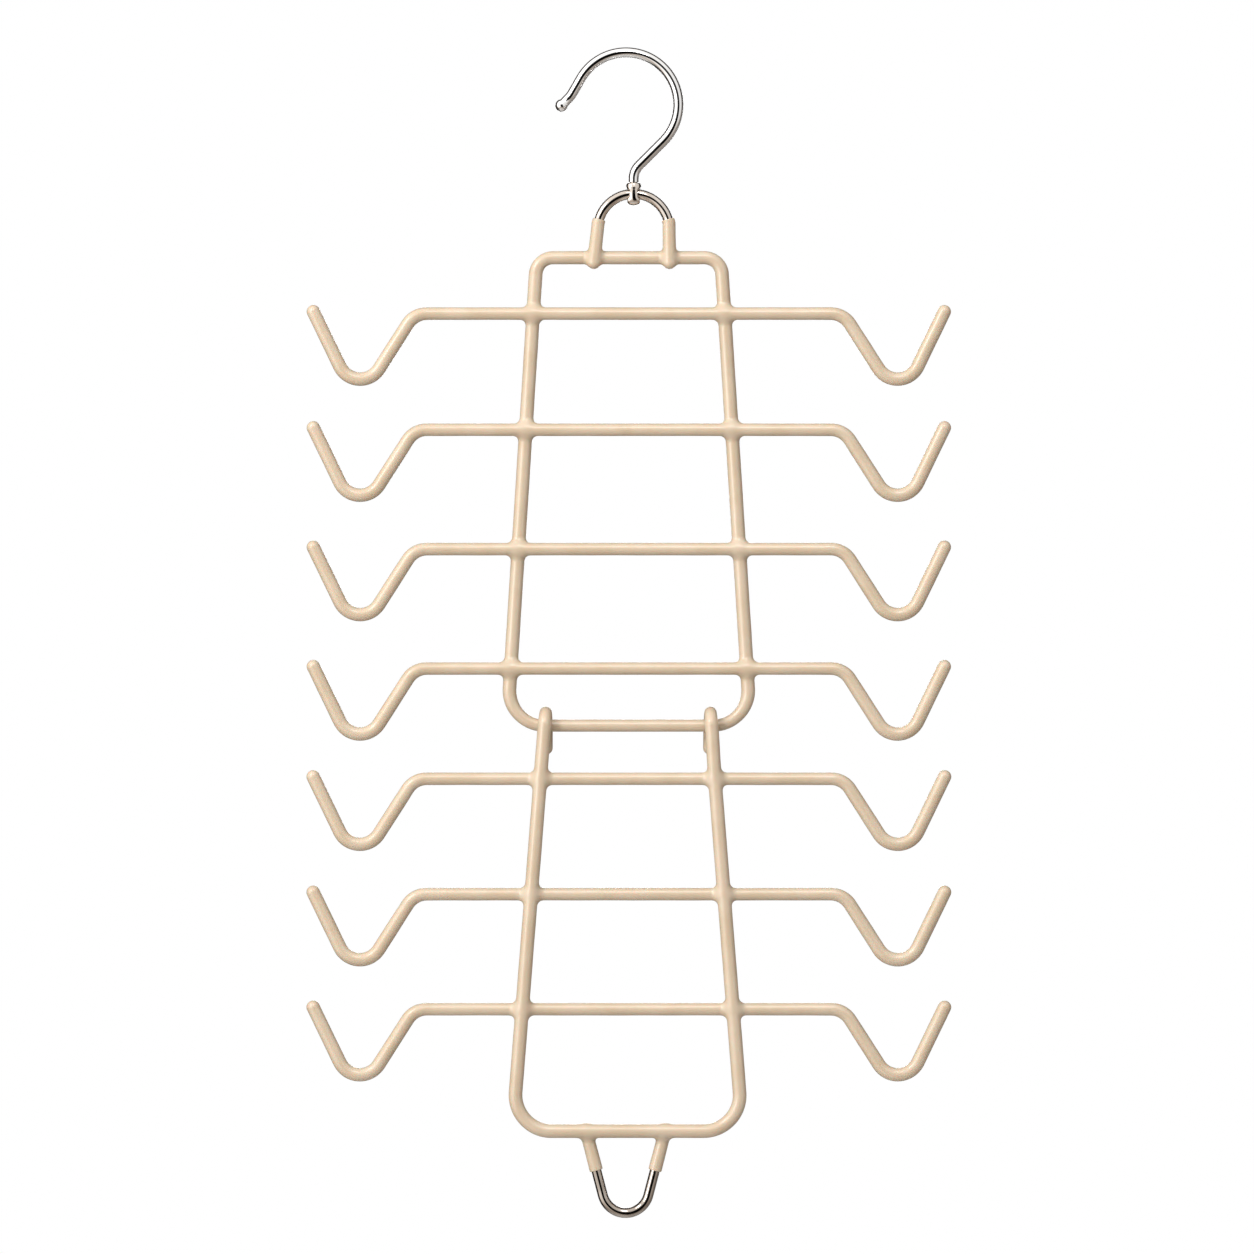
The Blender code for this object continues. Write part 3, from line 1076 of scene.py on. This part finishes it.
class SwivelEye(WrappedForm):
    """The polished eye: a crowned strap round the arch wire, under a turned collar."""

    FACE_SIZE = 0.14 * MM
    ROUGH_SIDES = 48
    BORE = 4.8 * MM
    HEIGHT = 9.4 * MM
    DEPTH = 6.8 * MM
    CROWN_DEPTH = 1.2 * MM
    FRONT_WIDTH = 3.35 * MM
    FOOT_WIDTH = 5.0 * MM
    TOP_WIDTH = 4.6 * MM
    SPREAD_START = 0.28
    SPREAD_END = 0.78
    SQUARENESS = 2.7
    COLLAR = 5.8 * MM
    COLLAR_NECK = 3.2 * MM
    FLARE_START = -0.3 * MM
    FLARE_END = 2.7 * MM
    COLLAR_LOW = -1.2 * MM
    COLLAR_HIGH = 4.1 * MM
    COLLAR_ROOT = BORE / 3
    COLLAR_EDGE = 0.5 * MM
    JOINT_FILLET = 0.7 * MM
    MOUTH_FILLET = 0.35 * MM
    SPIGOT_HOLE = 3.0 * MM
    POCKET = 4.2 * MM
    POCKET_TOP = 3.3 * MM
    HOLE_EDGE = 0.12 * MM
    PROBE = 0.01 * MM

    def __init__(self) -> None:
        """Set the eye up on its axis."""
        super().__init__("polished_swivel_eye")
        self.centre = np.array(joint_place("hook_swivel"))

    @staticmethod
    def _join(first: np.ndarray, second: np.ndarray, radius: float) -> np.ndarray:
        """Join two distances with a fillet.

        Args:
            first: The distance to one form.
            second: The distance to the other.
            radius: The fillet's radius.

        Returns:
            The distance to both together.
        """
        reach = np.hypot(np.maximum(radius - first, 0), np.maximum(radius - second, 0))
        return np.maximum(radius, np.minimum(first, second)) - reach

    def _strap(self, x: np.ndarray, y: np.ndarray, z: np.ndarray) -> np.ndarray:
        """Measure the distance to the strap before its bore is cut.

        Args:
            x: The distance from the strap's middle plane.
            y: The depth behind the bore's axis.
            z: The height over the bore's axis.

        Returns:
            The distances.
        """
        deep = np.abs(y) * self.HEIGHT / self.DEPTH
        around = (deep**self.SQUARENESS + np.abs(z) ** self.SQUARENESS) ** (1 / self.SQUARENESS)
        rise = z / np.maximum(around, TINY)
        top = smooth_step(self.SPREAD_START, self.SPREAD_END, rise)
        foot = smooth_step(self.SPREAD_START, self.SPREAD_END, -rise)
        half = (self.FRONT_WIDTH + (self.FOOT_WIDTH - self.FRONT_WIDTH) * foot
                + (self.TOP_WIDTH - self.FRONT_WIDTH) * top) / 2
        out = np.maximum((around - self.HEIGHT / 2) / self.CROWN_DEPTH + 1, 0)
        return (np.hypot(x / half, out) - 1) * self.CROWN_DEPTH

    def _collar(self, across: np.ndarray, z: np.ndarray) -> np.ndarray:
        """Measure the distance to the collar, which flares out of the strap.

        Args:
            across: The distance from the collar's axis.
            z: The height over the bore's axis.

        Returns:
            The distances.
        """
        middle = (self.COLLAR_HIGH + self.COLLAR_LOW) / 2
        flare = smooth_step(self.FLARE_START, self.FLARE_END, z)
        radius = (self.COLLAR_NECK + (self.COLLAR - self.COLLAR_NECK) * flare) / 2
        out = across - radius + self.COLLAR_EDGE
        up = np.abs(z - middle) - (self.COLLAR_HIGH - middle) + self.COLLAR_EDGE
        outside = np.hypot(np.maximum(out, 0), np.maximum(up, 0))
        return outside + np.minimum(np.maximum(out, up), 0) - self.COLLAR_EDGE

    def _distance(self, places: np.ndarray) -> np.ndarray:
        """Measure the distance to the eye.

        Args:
            places: The places, one in each row.

        Returns:
            The distances.
        """
        x, y, z = (places - self.centre).T
        around, across = np.hypot(y, z), np.hypot(x, y)
        solid = self._join(self._strap(x, y, z), self._collar(across, z), self.JOINT_FILLET)
        bore = around - self.BORE / 2
        pocket = np.maximum(across - self.POCKET / 2, np.abs(z - self.POCKET_TOP / 2) - self.POCKET_TOP / 2)
        hole = np.maximum(across - self.SPIGOT_HOLE / 2, -z)
        for hollow, edge in ((bore, self.MOUTH_FILLET), (pocket, self.HOLE_EDGE), (hole, self.HOLE_EDGE)):
            solid = -self._join(-solid, hollow, edge)
        return solid

    def measure(self, places: np.ndarray) -> tuple[np.ndarray, np.ndarray]:
        """Measure how far places lie outside the eye.

        Args:
            places: The places, one in each row.

        Returns:
            The distances and their slopes.
        """
        slopes = np.empty_like(places)
        for axis in range(3):
            step = np.zeros(3)
            step[axis] = self.PROBE
            rise = self._distance(places + step) - self._distance(places - step)
            slopes[:, axis] = rise / (2 * self.PROBE)
        return self._distance(places), slopes

    def rough_mesh(self) -> bpy.types.Mesh:
        """Draw the strap and the collar, and cut their holes out.

        Returns:
            The mesh.
        """
        centre = Vector(self.centre)
        upright = Matrix.Translation(centre)
        level = upright @ Matrix.Rotation(pi / 2, 4, "Y")
        drums = {
            "strap": (self.HEIGHT, self.FRONT_WIDTH, level, 0.0),
            "collar": (self.COLLAR, self.COLLAR_HIGH - self.COLLAR_ROOT, upright, self.COLLAR_HIGH),
            "bore": (self.BORE, self.HEIGHT, level, 0.0),
            "pocket": (self.POCKET, self.POCKET_TOP, upright, self.POCKET_TOP),
            "hole": (self.SPIGOT_HOLE, self.HEIGHT, upright, self.HEIGHT),
        }
        pieces = {}
        for name, (diameter, depth, place, top) in drums.items():
            shape = bmesh.new()
            bmesh.ops.create_cone(shape, cap_ends=True, segments=self.ROUGH_SIDES, radius1=diameter / 2,
                                  radius2=diameter / 2, depth=depth)
            lift = Matrix.Translation(Vector((0, 0, top - depth / 2 if top else 0)))
            bmesh.ops.transform(shape, matrix=place @ lift, verts=shape.verts)
            mesh = bpy.data.meshes.new("eye_" + name)
            shape.to_mesh(mesh)
            shape.free()
            pieces[name] = add_object("eye_" + name, mesh)
        for name in ("collar", "bore", "pocket", "hole"):
            boolean = pieces["strap"].modifiers.new(name, "BOOLEAN")
            boolean.operation = "UNION" if name == "collar" else "DIFFERENCE"
            boolean.object = pieces[name]
        mesh = settled_mesh(pieces["strap"], self.name + "_rough")
        for piece in pieces.values():
            bpy.data.objects.remove(piece, do_unlink=True)
        return mesh

    def dress(self, wardrobe: Wardrobe) -> None:
        """Build and dress the eye.

        Args:
            wardrobe: The materials.
        """
        # The eye gets the chrome with painted shade and painted warm reflection in its base colour.
        wardrobe.place(self.build(), PAINTED_SHADE_CHROME, Body.EYE, ["swivel_eye"])


@dataclass
class TierShape:
    """The bent wire of one tier in its coat: a bar with a trough at each end."""

    width: float = 252.4 * MM
    trough_width: float = 40.4 * MM
    trough_point: float = 22.8 * MM
    trough_drop: float = 35.6 * MM
    tip_rise: float = 0.8 * MM
    bend: float = 9.0 * MM
    coat: float = 5.0 * MM
    hook_coat: float = 5.4 * MM
    swell: float = 9.0 * MM
    fillet: float = 2.7 * MM
    spacing: float = 12.0 * MM
    step: float = radians(6)

    def strand(self, centre: Vector) -> Strand:
        """Bend one tier.

        Args:
            centre: The middle of its bar.

        Returns:
            The tier's strand.
        """
        shoulder = self.width / 2 - self.trough_width
        half = [
            Vector((shoulder, 0, 0)),
            Vector((shoulder + self.trough_point, 0, -self.trough_drop)),
            Vector((self.width / 2, 0, self.tip_rise)),
        ]
        corners = [centre + Vector((-place.x, 0, place.z)) for place in reversed(half)]
        corners += [centre + place for place in half]
        path = even_out(bend_wire(corners, [self.bend] * 4, False, self.step), False, self.spacing)
        out = np.array([abs(point.x - centre.x) for point in path])
        swollen = smooth_step(shoulder - self.swell, shoulder + self.swell, out)
        radii = (self.coat + (self.hook_coat - self.coat) * swollen) / 2
        return Strand(Tube(path, radii.tolist()), self.fillet)

    def rack(self, first: int, shares: tuple[float, ...], top: Vector, height: float) -> dict[str, Strand]:
        """Bend all tiers of one frame.

        Args:
            first: The first tier's number.
            shares: How far down each tier lies, as shares of the frame's height.
            top: The middle of the frame's top.
            height: The frame's height.

        Returns:
            Each tier's strand, by the CAD node that it stands for.
        """
        strands = {}
        for number, share in enumerate(shares, first):
            node = f"tier_{number}_coat"
            strands[node] = self.strand(Vector((top.x, depth_of(node), top.z - height * share)))
        return strands


@dataclass
class UpperFrame:
    """The upper frame: chrome arch, closed frame of bars and rails, and four tiers."""

    top_width: float = 73.8 * MM
    bottom_width: float = 97.4 * MM
    height: float = 187.3 * MM
    top_corner: float = 7.0 * MM
    bottom_corner: float = 14.0 * MM
    first_tier: int = 1
    tier_shares: tuple[float, ...] = (0.120, 0.368, 0.623, 0.878)
    coat: float = 5.5 * MM
    top_bar_coat: float = 5.3 * MM
    hinge_coat: float = 4.9 * MM
    chrome: float = 4.0 * MM
    arch_radius: float = 14.35 * MM
    left_foot: float = 15.7 * MM
    right_foot: float = 14.35 * MM
    neck: float = 1.5 * MM
    leg_spacing: float = 5.5 * MM
    arch_tail: float = 2.0 * MM
    arch_coat: float = 5.2 * MM
    tail_coat: float = 5.4 * MM
    arch_coat_drop: float = 10.2 * MM
    arch_fillet: float = 1.9 * MM
    lip_tilt: float = radians(14)
    step: float = radians(4)
    sides: int = 40

    def __post_init__(self) -> None:
        """Take the frame's place from the joints."""
        self.arch_centre = joint_place("frame_rock") - Vector((0, 0, self.arch_radius))
        self.lip_angle = asin(1 - self.arch_coat_drop / self.arch_radius)
        self.bar = joint_place("lower_fold") + Vector((0, 0, self.height))

    def frame_strand(self) -> Strand:
        """Bend the closed frame.

        Returns:
            Its strand, with the coat thinner on the bar that the lower frame hangs on.
        """
        top, bottom = self.top_width / 2, self.bottom_width / 2
        places = ((-top, 0, 0), (top, 0, 0), (bottom, 0, -self.height), (-bottom, 0, -self.height))
        corners = [self.bar + Vector(place) for place in places]
        radii = [self.top_corner] * 2 + [self.bottom_corner] * 2
        path = even_out(bend_wire(corners, radii, True, self.step), True, self.bottom_corner)
        height = np.array([point.z for point in path]) - self.bar.z + self.height
        full = smooth_step(0, self.bottom_corner, height)
        thin = smooth_step(self.height - self.top_corner, self.height, height)
        coats = self.hinge_coat + (self.coat - self.hinge_coat) * full
        coats -= (self.coat - self.top_bar_coat) * thin
        return Strand(Tube(path, (coats / 2).tolist(), True), TierShape.fillet)

    def arch_leg(self, side: Side) -> list[Vector]:
        """Bend one leg of the arch, from where its coat starts.

        Args:
            side: Which leg.

        Returns:
            Its centre line down to its tail.
        """
        centre = self.arch_centre
        lip = polar(centre, self.arch_radius, self.lip_angle)
        neck = lip + Vector((sin(self.lip_angle), 0, -cos(self.lip_angle))) * self.neck
        reach = self.left_foot if side is Side.LEFT else self.right_foot
        foot = Vector((centre.x + reach, centre.y, self.bar.z))
        tail = foot + (foot - neck).normalized() * self.arch_tail
        return [
            Vector((centre.x + side.value * (point.x - centre.x), centre.y, point.z))
            for point in (lip, neck, tail)
        ]

    def leg_strand(self, side: Side) -> Strand:
        """Coat one leg of the arch.

        Args:
            side: Which leg.

        Returns:
            Its strand, with a lip at the top and a fuller tail.
        """
        path = even_out(self.arch_leg(side), False, self.leg_spacing)
        radii = [self.arch_coat / 2] * (len(path) - 2) + [self.tail_coat / 2] * 2
        way = Vector((-side.value * sin(self.lip_tilt), 0, cos(self.lip_tilt)))
        return Strand(Tube(path, radii), self.arch_fillet, way)

    def arch_tube(self) -> Tube:
        """Bend the bare arch wire.

        Returns:
            Its shape.
        """
        crown = arc(self.arch_centre, self.arch_radius, pi - self.lip_angle, self.lip_angle, self.step)
        path = self.arch_leg(Side.LEFT)[:0:-1] + crown + self.arch_leg(Side.RIGHT)[1:]
        return Tube(path, [self.chrome / 2] * len(path))

    def build(self, wardrobe: Wardrobe, tier: TierShape) -> None:
        """Build and dress the arch and the skin.

        Args:
            wardrobe: The materials.
            tier: The tiers' shape.
        """
        arch = smooth_wire("chrome_arch", self.arch_tube(), self.sides)
        # The arch gets the chrome with painted shade and painted warm reflection in its base colour.
        wardrobe.place(arch, PAINTED_SHADE_CHROME, Body.UPPER, ["arch_wire"])
        strands = {"upper_frame_coat": self.frame_strand()}
        strands |= {f"arch_{side.name.lower()}_coat": self.leg_strand(side) for side in Side}
        strands |= tier.rack(self.first_tier, self.tier_shares, self.bar, self.height)
        skin = DippedSkin("upper_dipped_skin", list(strands.values())).build()
        wardrobe.place(skin, DIPPED_PVC, Body.UPPER, list(strands))


@dataclass
class LowerFrame:
    """The lower frame: rails with J-hooks over the hinge bar, bottom bar, three tiers and loop."""

    shift: float = -0.5 * MM
    top_width: float = 66.4 * MM
    bottom_width: float = 91.9 * MM
    height: float = 161.9 * MM
    corner: float = 14.4 * MM
    hook_return: float = 9.0 * MM
    first_tier: int = 5
    tier_shares: tuple[float, ...] = (0.131, 0.416, 0.700)
    coat: float = 5.5 * MM
    reach: float = 5.5 * MM
    crown_height: float = 5.15 * MM
    crown_coat: float = 5.0 * MM
    right_hook_lean: float = 0.4 * MM
    chrome: float = 4.0 * MM
    loop_shift: float = -0.8 * MM
    loop_radius: float = 9.4 * MM
    loop_tilt: float = radians(14.6)
    loop_depth: float = 32.9 * MM
    loop_coat: float = 5.1 * MM
    loop_coat_drop: float = 15.9 * MM
    loop_lip_swell: float = 0.12 * MM
    loop_fillet: float = 2.4 * MM
    step: float = radians(4)
    sides: int = 40

    def __post_init__(self) -> None:
        """Take the frame's place from the hinge."""
        self.hinge = joint_place("lower_fold")

    def frame_strand(self) -> Strand:
        """Bend the frame from one J-hook to the other.

        Returns:
            Its strand.
        """
        reach = self.reach
        top, bottom = self.top_width / 2, self.bottom_width / 2
        crown = top - (bottom - top) * reach / self.height
        half = (
            (bottom, -reach, -self.height),
            (crown, -reach, reach),
            (crown, reach, reach),
            (crown, reach, -self.hook_return),
        )
        corners = [self.hinge + Vector((self.shift - x, y, z)) for x, y, z in reversed(half)]
        corners += [self.hinge + Vector((self.shift + x, y, z)) for x, y, z in half]
        radii = [reach, reach, self.corner, self.corner, reach, reach]
        path = even_out(bend_wire(corners, radii, False, self.step), False, self.corner)
        heights = np.array([point.z for point in path]) - self.hinge.z
        thin = smooth_step(0, reach, heights)
        lean = smooth_step(-self.height * self.tier_shares[0], 0, heights) * self.right_hook_lean
        for point, height, shift in zip(path, heights, lean):
            point.z -= max(height, 0) * (1 - self.crown_height / reach)
            point.x += shift if point.x > self.hinge.x else 0
        coats = self.coat - (self.coat - self.crown_coat) * thin
        return Strand(Tube(path, (coats / 2).tolist()), TierShape.fillet)

    def loop_corners(self) -> list[Vector]:
        """Place the loop's sharp corners.

        Returns:
            Its left end, its point and its right end.
        """
        place = Vector((self.hinge.x + self.shift + self.loop_shift, depth_of("bottom_loop_wire"),
                        self.hinge.z - self.height))
        drop = self.loop_depth - self.loop_radius + self.loop_radius / sin(self.loop_tilt)
        half = Vector((drop * tan(self.loop_tilt), 0, 0))
        return [place - half, place - Vector((0, 0, drop)), place + half]

    def loop_tube(self) -> Tube:
        """Bend the bare loop wire.

        Returns:
            Its shape.
        """
        path = bend_wire(self.loop_corners(), [self.loop_radius], False, self.step)
        return Tube(path, [self.chrome / 2] * len(path))

    def leg_strand(self, side: Side) -> Strand:
        """Coat one leg of the loop.

        Args:
            side: Which leg.

        Returns:
            Its strand, with a lip at its foot.
        """
        left, point, right = self.loop_corners()
        head = left if side is Side.LEFT else right
        down = (point - head).normalized()
        foot = head + down * self.loop_coat_drop / cos(self.loop_tilt)
        radii = [self.loop_coat / 2 + self.loop_lip_swell, self.loop_coat / 2]
        return Strand(Tube([foot, head], radii), self.loop_fillet, down)

    def build(self, wardrobe: Wardrobe, tier: TierShape) -> None:
        """Build and dress the loop and the skin.

        Args:
            wardrobe: The materials.
            tier: The tiers' shape.
        """
        loop = smooth_wire("chrome_bottom_loop", self.loop_tube(), self.sides)
        # The loop gets the chrome with deeper painted shade in its base colour.
        wardrobe.place(loop, DEEPER_PAINTED_SHADE_CHROME, Body.LOWER, ["bottom_loop_wire"])
        strands = {"lower_frame_coat": self.frame_strand()}
        strands |= {f"loop_{side.name.lower()}_coat": self.leg_strand(side) for side in Side}
        strands |= tier.rack(self.first_tier, self.tier_shares, self.hinge, self.height)
        skin = DippedSkin("lower_dipped_skin", list(strands.values())).build()
        wardrobe.place(skin, DIPPED_PVC, Body.LOWER, list(strands))


def dress_cores(wardrobe: Wardrobe) -> None:
    """Give the steel wires inside the coats their finish.

    Args:
        wardrobe: The materials.
    """
    starts = ("tier_", "upper_", "lower_")
    cores = [name for name in frame["nodes"] if name.startswith(starts) and name.endswith("_wire")]
    for name in cores:
        wardrobe.dress(frame["nodes"][name], DRAWN_STEEL)
    LOG.info("dressed %d steel cores", len(cores))


@dataclass
class SoftBox:
    """A square soft light that faces the hanger."""

    name: str
    direction: tuple[float, float, float]
    power: float
    distance: float = 1.5
    size: float = 0.4

    def build(self, target: Vector) -> None:
        """Place the light.

        Args:
            target: What it faces.
        """
        light = bpy.data.lights.new(self.name, "AREA")
        light.size = self.size
        light.energy = self.power
        lamp = bpy.data.objects.new(self.name, light)
        away = Vector(self.direction).normalized()
        lamp.location = target + away * self.distance
        lamp.rotation_euler = away.to_track_quat("Z", "Y").to_euler()
        lamp.visible_camera = False
        bpy.context.scene.collection.objects.link(lamp)


@dataclass
class Surroundings:
    """The room: bright in front, warmer below, dim behind, and dark where the camera and its stand are."""

    brightness: float = 1.10
    lean: tuple[float, float, float] = (-0.35, 0.0, 0.12)
    back: tuple[float, float, float] = (0.06, 1.0, -0.24)
    back_span: tuple[float, float] = (-0.19, 0.01)
    back_glow: float = 0.05
    under: tuple[float, float, float] = (0.18, 0.0, -0.98)
    under_span: tuple[float, float] = (0.10, 0.75)
    under_glow: float = 0.47
    foot: tuple[float, float, float] = (0.6, 0.0, -0.8)
    foot_span: tuple[float, float] = (0.3, 0.9)
    foot_glow: float = 0.28
    camera_way: tuple[float, float, float] = (0.070, -0.998, 0.0)
    stand_way: tuple[float, float, float] = (0.200, -0.940, -0.276)
    dark_span: tuple[float, float] = (0.895, 0.950)
    dark_glow: float = 0.02
    front_colour: tuple[float, float, float, float] = (1.0, 0.99, 0.975, 1.0)
    under_colour: tuple[float, float, float, float] = (1.0, 0.85, 0.72, 1.0)
    back_colour: tuple[float, float, float, float] = (1.0, 0.90, 0.83, 1.0)
    backdrop_colour: tuple[float, float, float, float] = (1.0, 1.0, 1.0, 1.0)

    def build(self) -> None:
        """Build the world: a plain white backdrop for the camera, and the room for all other rays."""
        world = bpy.data.worlds.new("pale_studio")
        bpy.context.scene.world = world
        world.use_nodes = True
        world.node_tree.nodes.clear()
        sheet = NodeSheet(world.node_tree)
        way = sheet.add("ShaderNodeTexCoord").outputs["Generated"]
        front = sheet.math("ADD", sheet.dot(way, self.lean), self.brightness)
        camera = sheet.spread(sheet.dot(way, self.camera_way), 1.0, self.dark_glow, self.dark_span)
        stand = sheet.spread(sheet.dot(way, self.stand_way), 1.0, self.dark_glow, self.dark_span)
        back = sheet.spread(sheet.dot(way, self.back), 0.0, 1.0, self.back_span)
        under = sheet.spread(sheet.dot(way, self.under), 0.0, 1.0, self.under_span)
        dim = sheet.spread(sheet.dot(way, self.foot), self.back_glow, self.foot_glow, self.foot_span)
        lit = sheet.math("MULTIPLY", sheet.math("MULTIPLY", front, camera), stand)
        lit = sheet.math("MULTIPLY", lit, sheet.spread(under, 1.0, self.under_glow))
        lit = sheet.math("MULTIPLY", lit, sheet.math("SUBTRACT", 1.0, back))
        glow = sheet.math("ADD", lit, sheet.math("MULTIPLY", dim, back))
        warmth = sheet.blend(under, self.front_colour, self.under_colour)
        colour = sheet.blend(back, warmth, self.back_colour)
        backdrop = {"Color": self.backdrop_colour, "Strength": 1.0}
        seen = sheet.add("ShaderNodeBackground", backdrop).outputs[0]
        room = sheet.add("ShaderNodeBackground", {"Color": colour, "Strength": glow}).outputs[0]
        straight = sheet.add("ShaderNodeLightPath").outputs["Is Camera Ray"]
        mixed = sheet.add("ShaderNodeMixShader", {0: straight, 1: room, 2: seen}).outputs[0]
        sheet.add("ShaderNodeOutputWorld", {"Surface": mixed})


@dataclass
class Studio:
    """The pale studio: surroundings, soft boxes, floor and camera."""

    frame_height: float = 501.6 * MM
    centre_x: float = 0.36 * MM
    centre_z: float = -227.84 * MM
    camera_distance: float = 2.5
    sensor: float = 36.0
    floor_drop: float = 1.6
    floor_radius: float = 1.5
    floor_fade: float = 0.6
    floor_sides: int = 96
    floor_roughness: float = 0.7
    floor_colour: tuple[float, float, float, float] = (0.74, 0.735, 0.725, 1.0)

    def lights(self) -> None:
        """Place the soft boxes."""
        target = Vector((self.centre_x, 0, self.centre_z))
        boxes = (
            SoftBox("key_softbox", direction=(-0.62, -0.62, 0.55), power=7.0),
            SoftBox("top_softbox", direction=(0.05, -0.72, 0.70), power=4.0),
            SoftBox("left_softbox", direction=(-0.72, -0.70, 0.05), power=4.0),
            SoftBox("back_softbox", direction=(0.0, 1.0, 0.12), power=4.0, distance=1.8, size=0.5),
        )
        for box in boxes:
            box.build(target)

    def floor(self) -> None:
        """Lay a pale floor that fades out far behind the hanger."""
        shape = bmesh.new()
        bmesh.ops.create_circle(shape, cap_ends=True, segments=self.floor_sides, radius=self.floor_radius)
        mesh = bpy.data.meshes.new("studio_floor")
        shape.to_mesh(mesh)
        shape.free()
        floor = add_object("studio_floor", mesh)
        floor.location = (self.centre_x, 0, -self.floor_drop)
        material = bpy.data.materials.new("pale_floor")
        material.use_nodes = True
        sheet = NodeSheet(material.node_tree)
        shader = material.node_tree.nodes["Principled BSDF"]
        shader.inputs["Base Color"].default_value = self.floor_colour
        shader.inputs["Roughness"].default_value = self.floor_roughness
        place = sheet.add("ShaderNodeTexCoord").outputs["Object"]
        out = sheet.add("ShaderNodeVectorMath", {0: place}, operation="LENGTH").outputs["Value"]
        fade = sheet.spread(out, 1.0, 0.0, (self.floor_fade, self.floor_radius))
        material.node_tree.links.new(fade, shader.inputs["Alpha"])
        mesh.materials.append(material)

    def camera(self) -> None:
        """Place the camera straight in front, as far as a long lens stands."""
        lens = self.sensor * self.camera_distance / self.frame_height
        data = bpy.data.cameras.new("front_camera")
        data.lens = lens
        data.sensor_width = self.sensor
        camera = bpy.data.objects.new("front_camera", data)
        camera.location = (self.centre_x, -self.camera_distance, self.centre_z)
        camera.rotation_euler = (pi / 2, 0, 0)
        bpy.context.scene.collection.objects.link(camera)
        bpy.context.scene.camera = camera

    def build(self) -> None:
        """Set the whole studio up."""
        bpy.context.scene.view_settings.view_transform = "Standard"
        Surroundings().build()
        self.lights()
        self.floor()
        self.camera()
        LOG.info("studio is set up")


def main() -> None:
    """Dress the hanger from its hook down, then set the studio up."""
    logging.basicConfig(level=logging.INFO, format="%(name)s: %(message)s")
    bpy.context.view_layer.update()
    wardrobe = Wardrobe()
    tier = TierShape()
    ChromeHook().build(wardrobe)
    SwivelEye().dress(wardrobe)
    UpperFrame().build(wardrobe, tier)
    LowerFrame().build(wardrobe, tier)
    dress_cores(wardrobe)
    Studio().build()


if __name__ == "__main__":
    main()
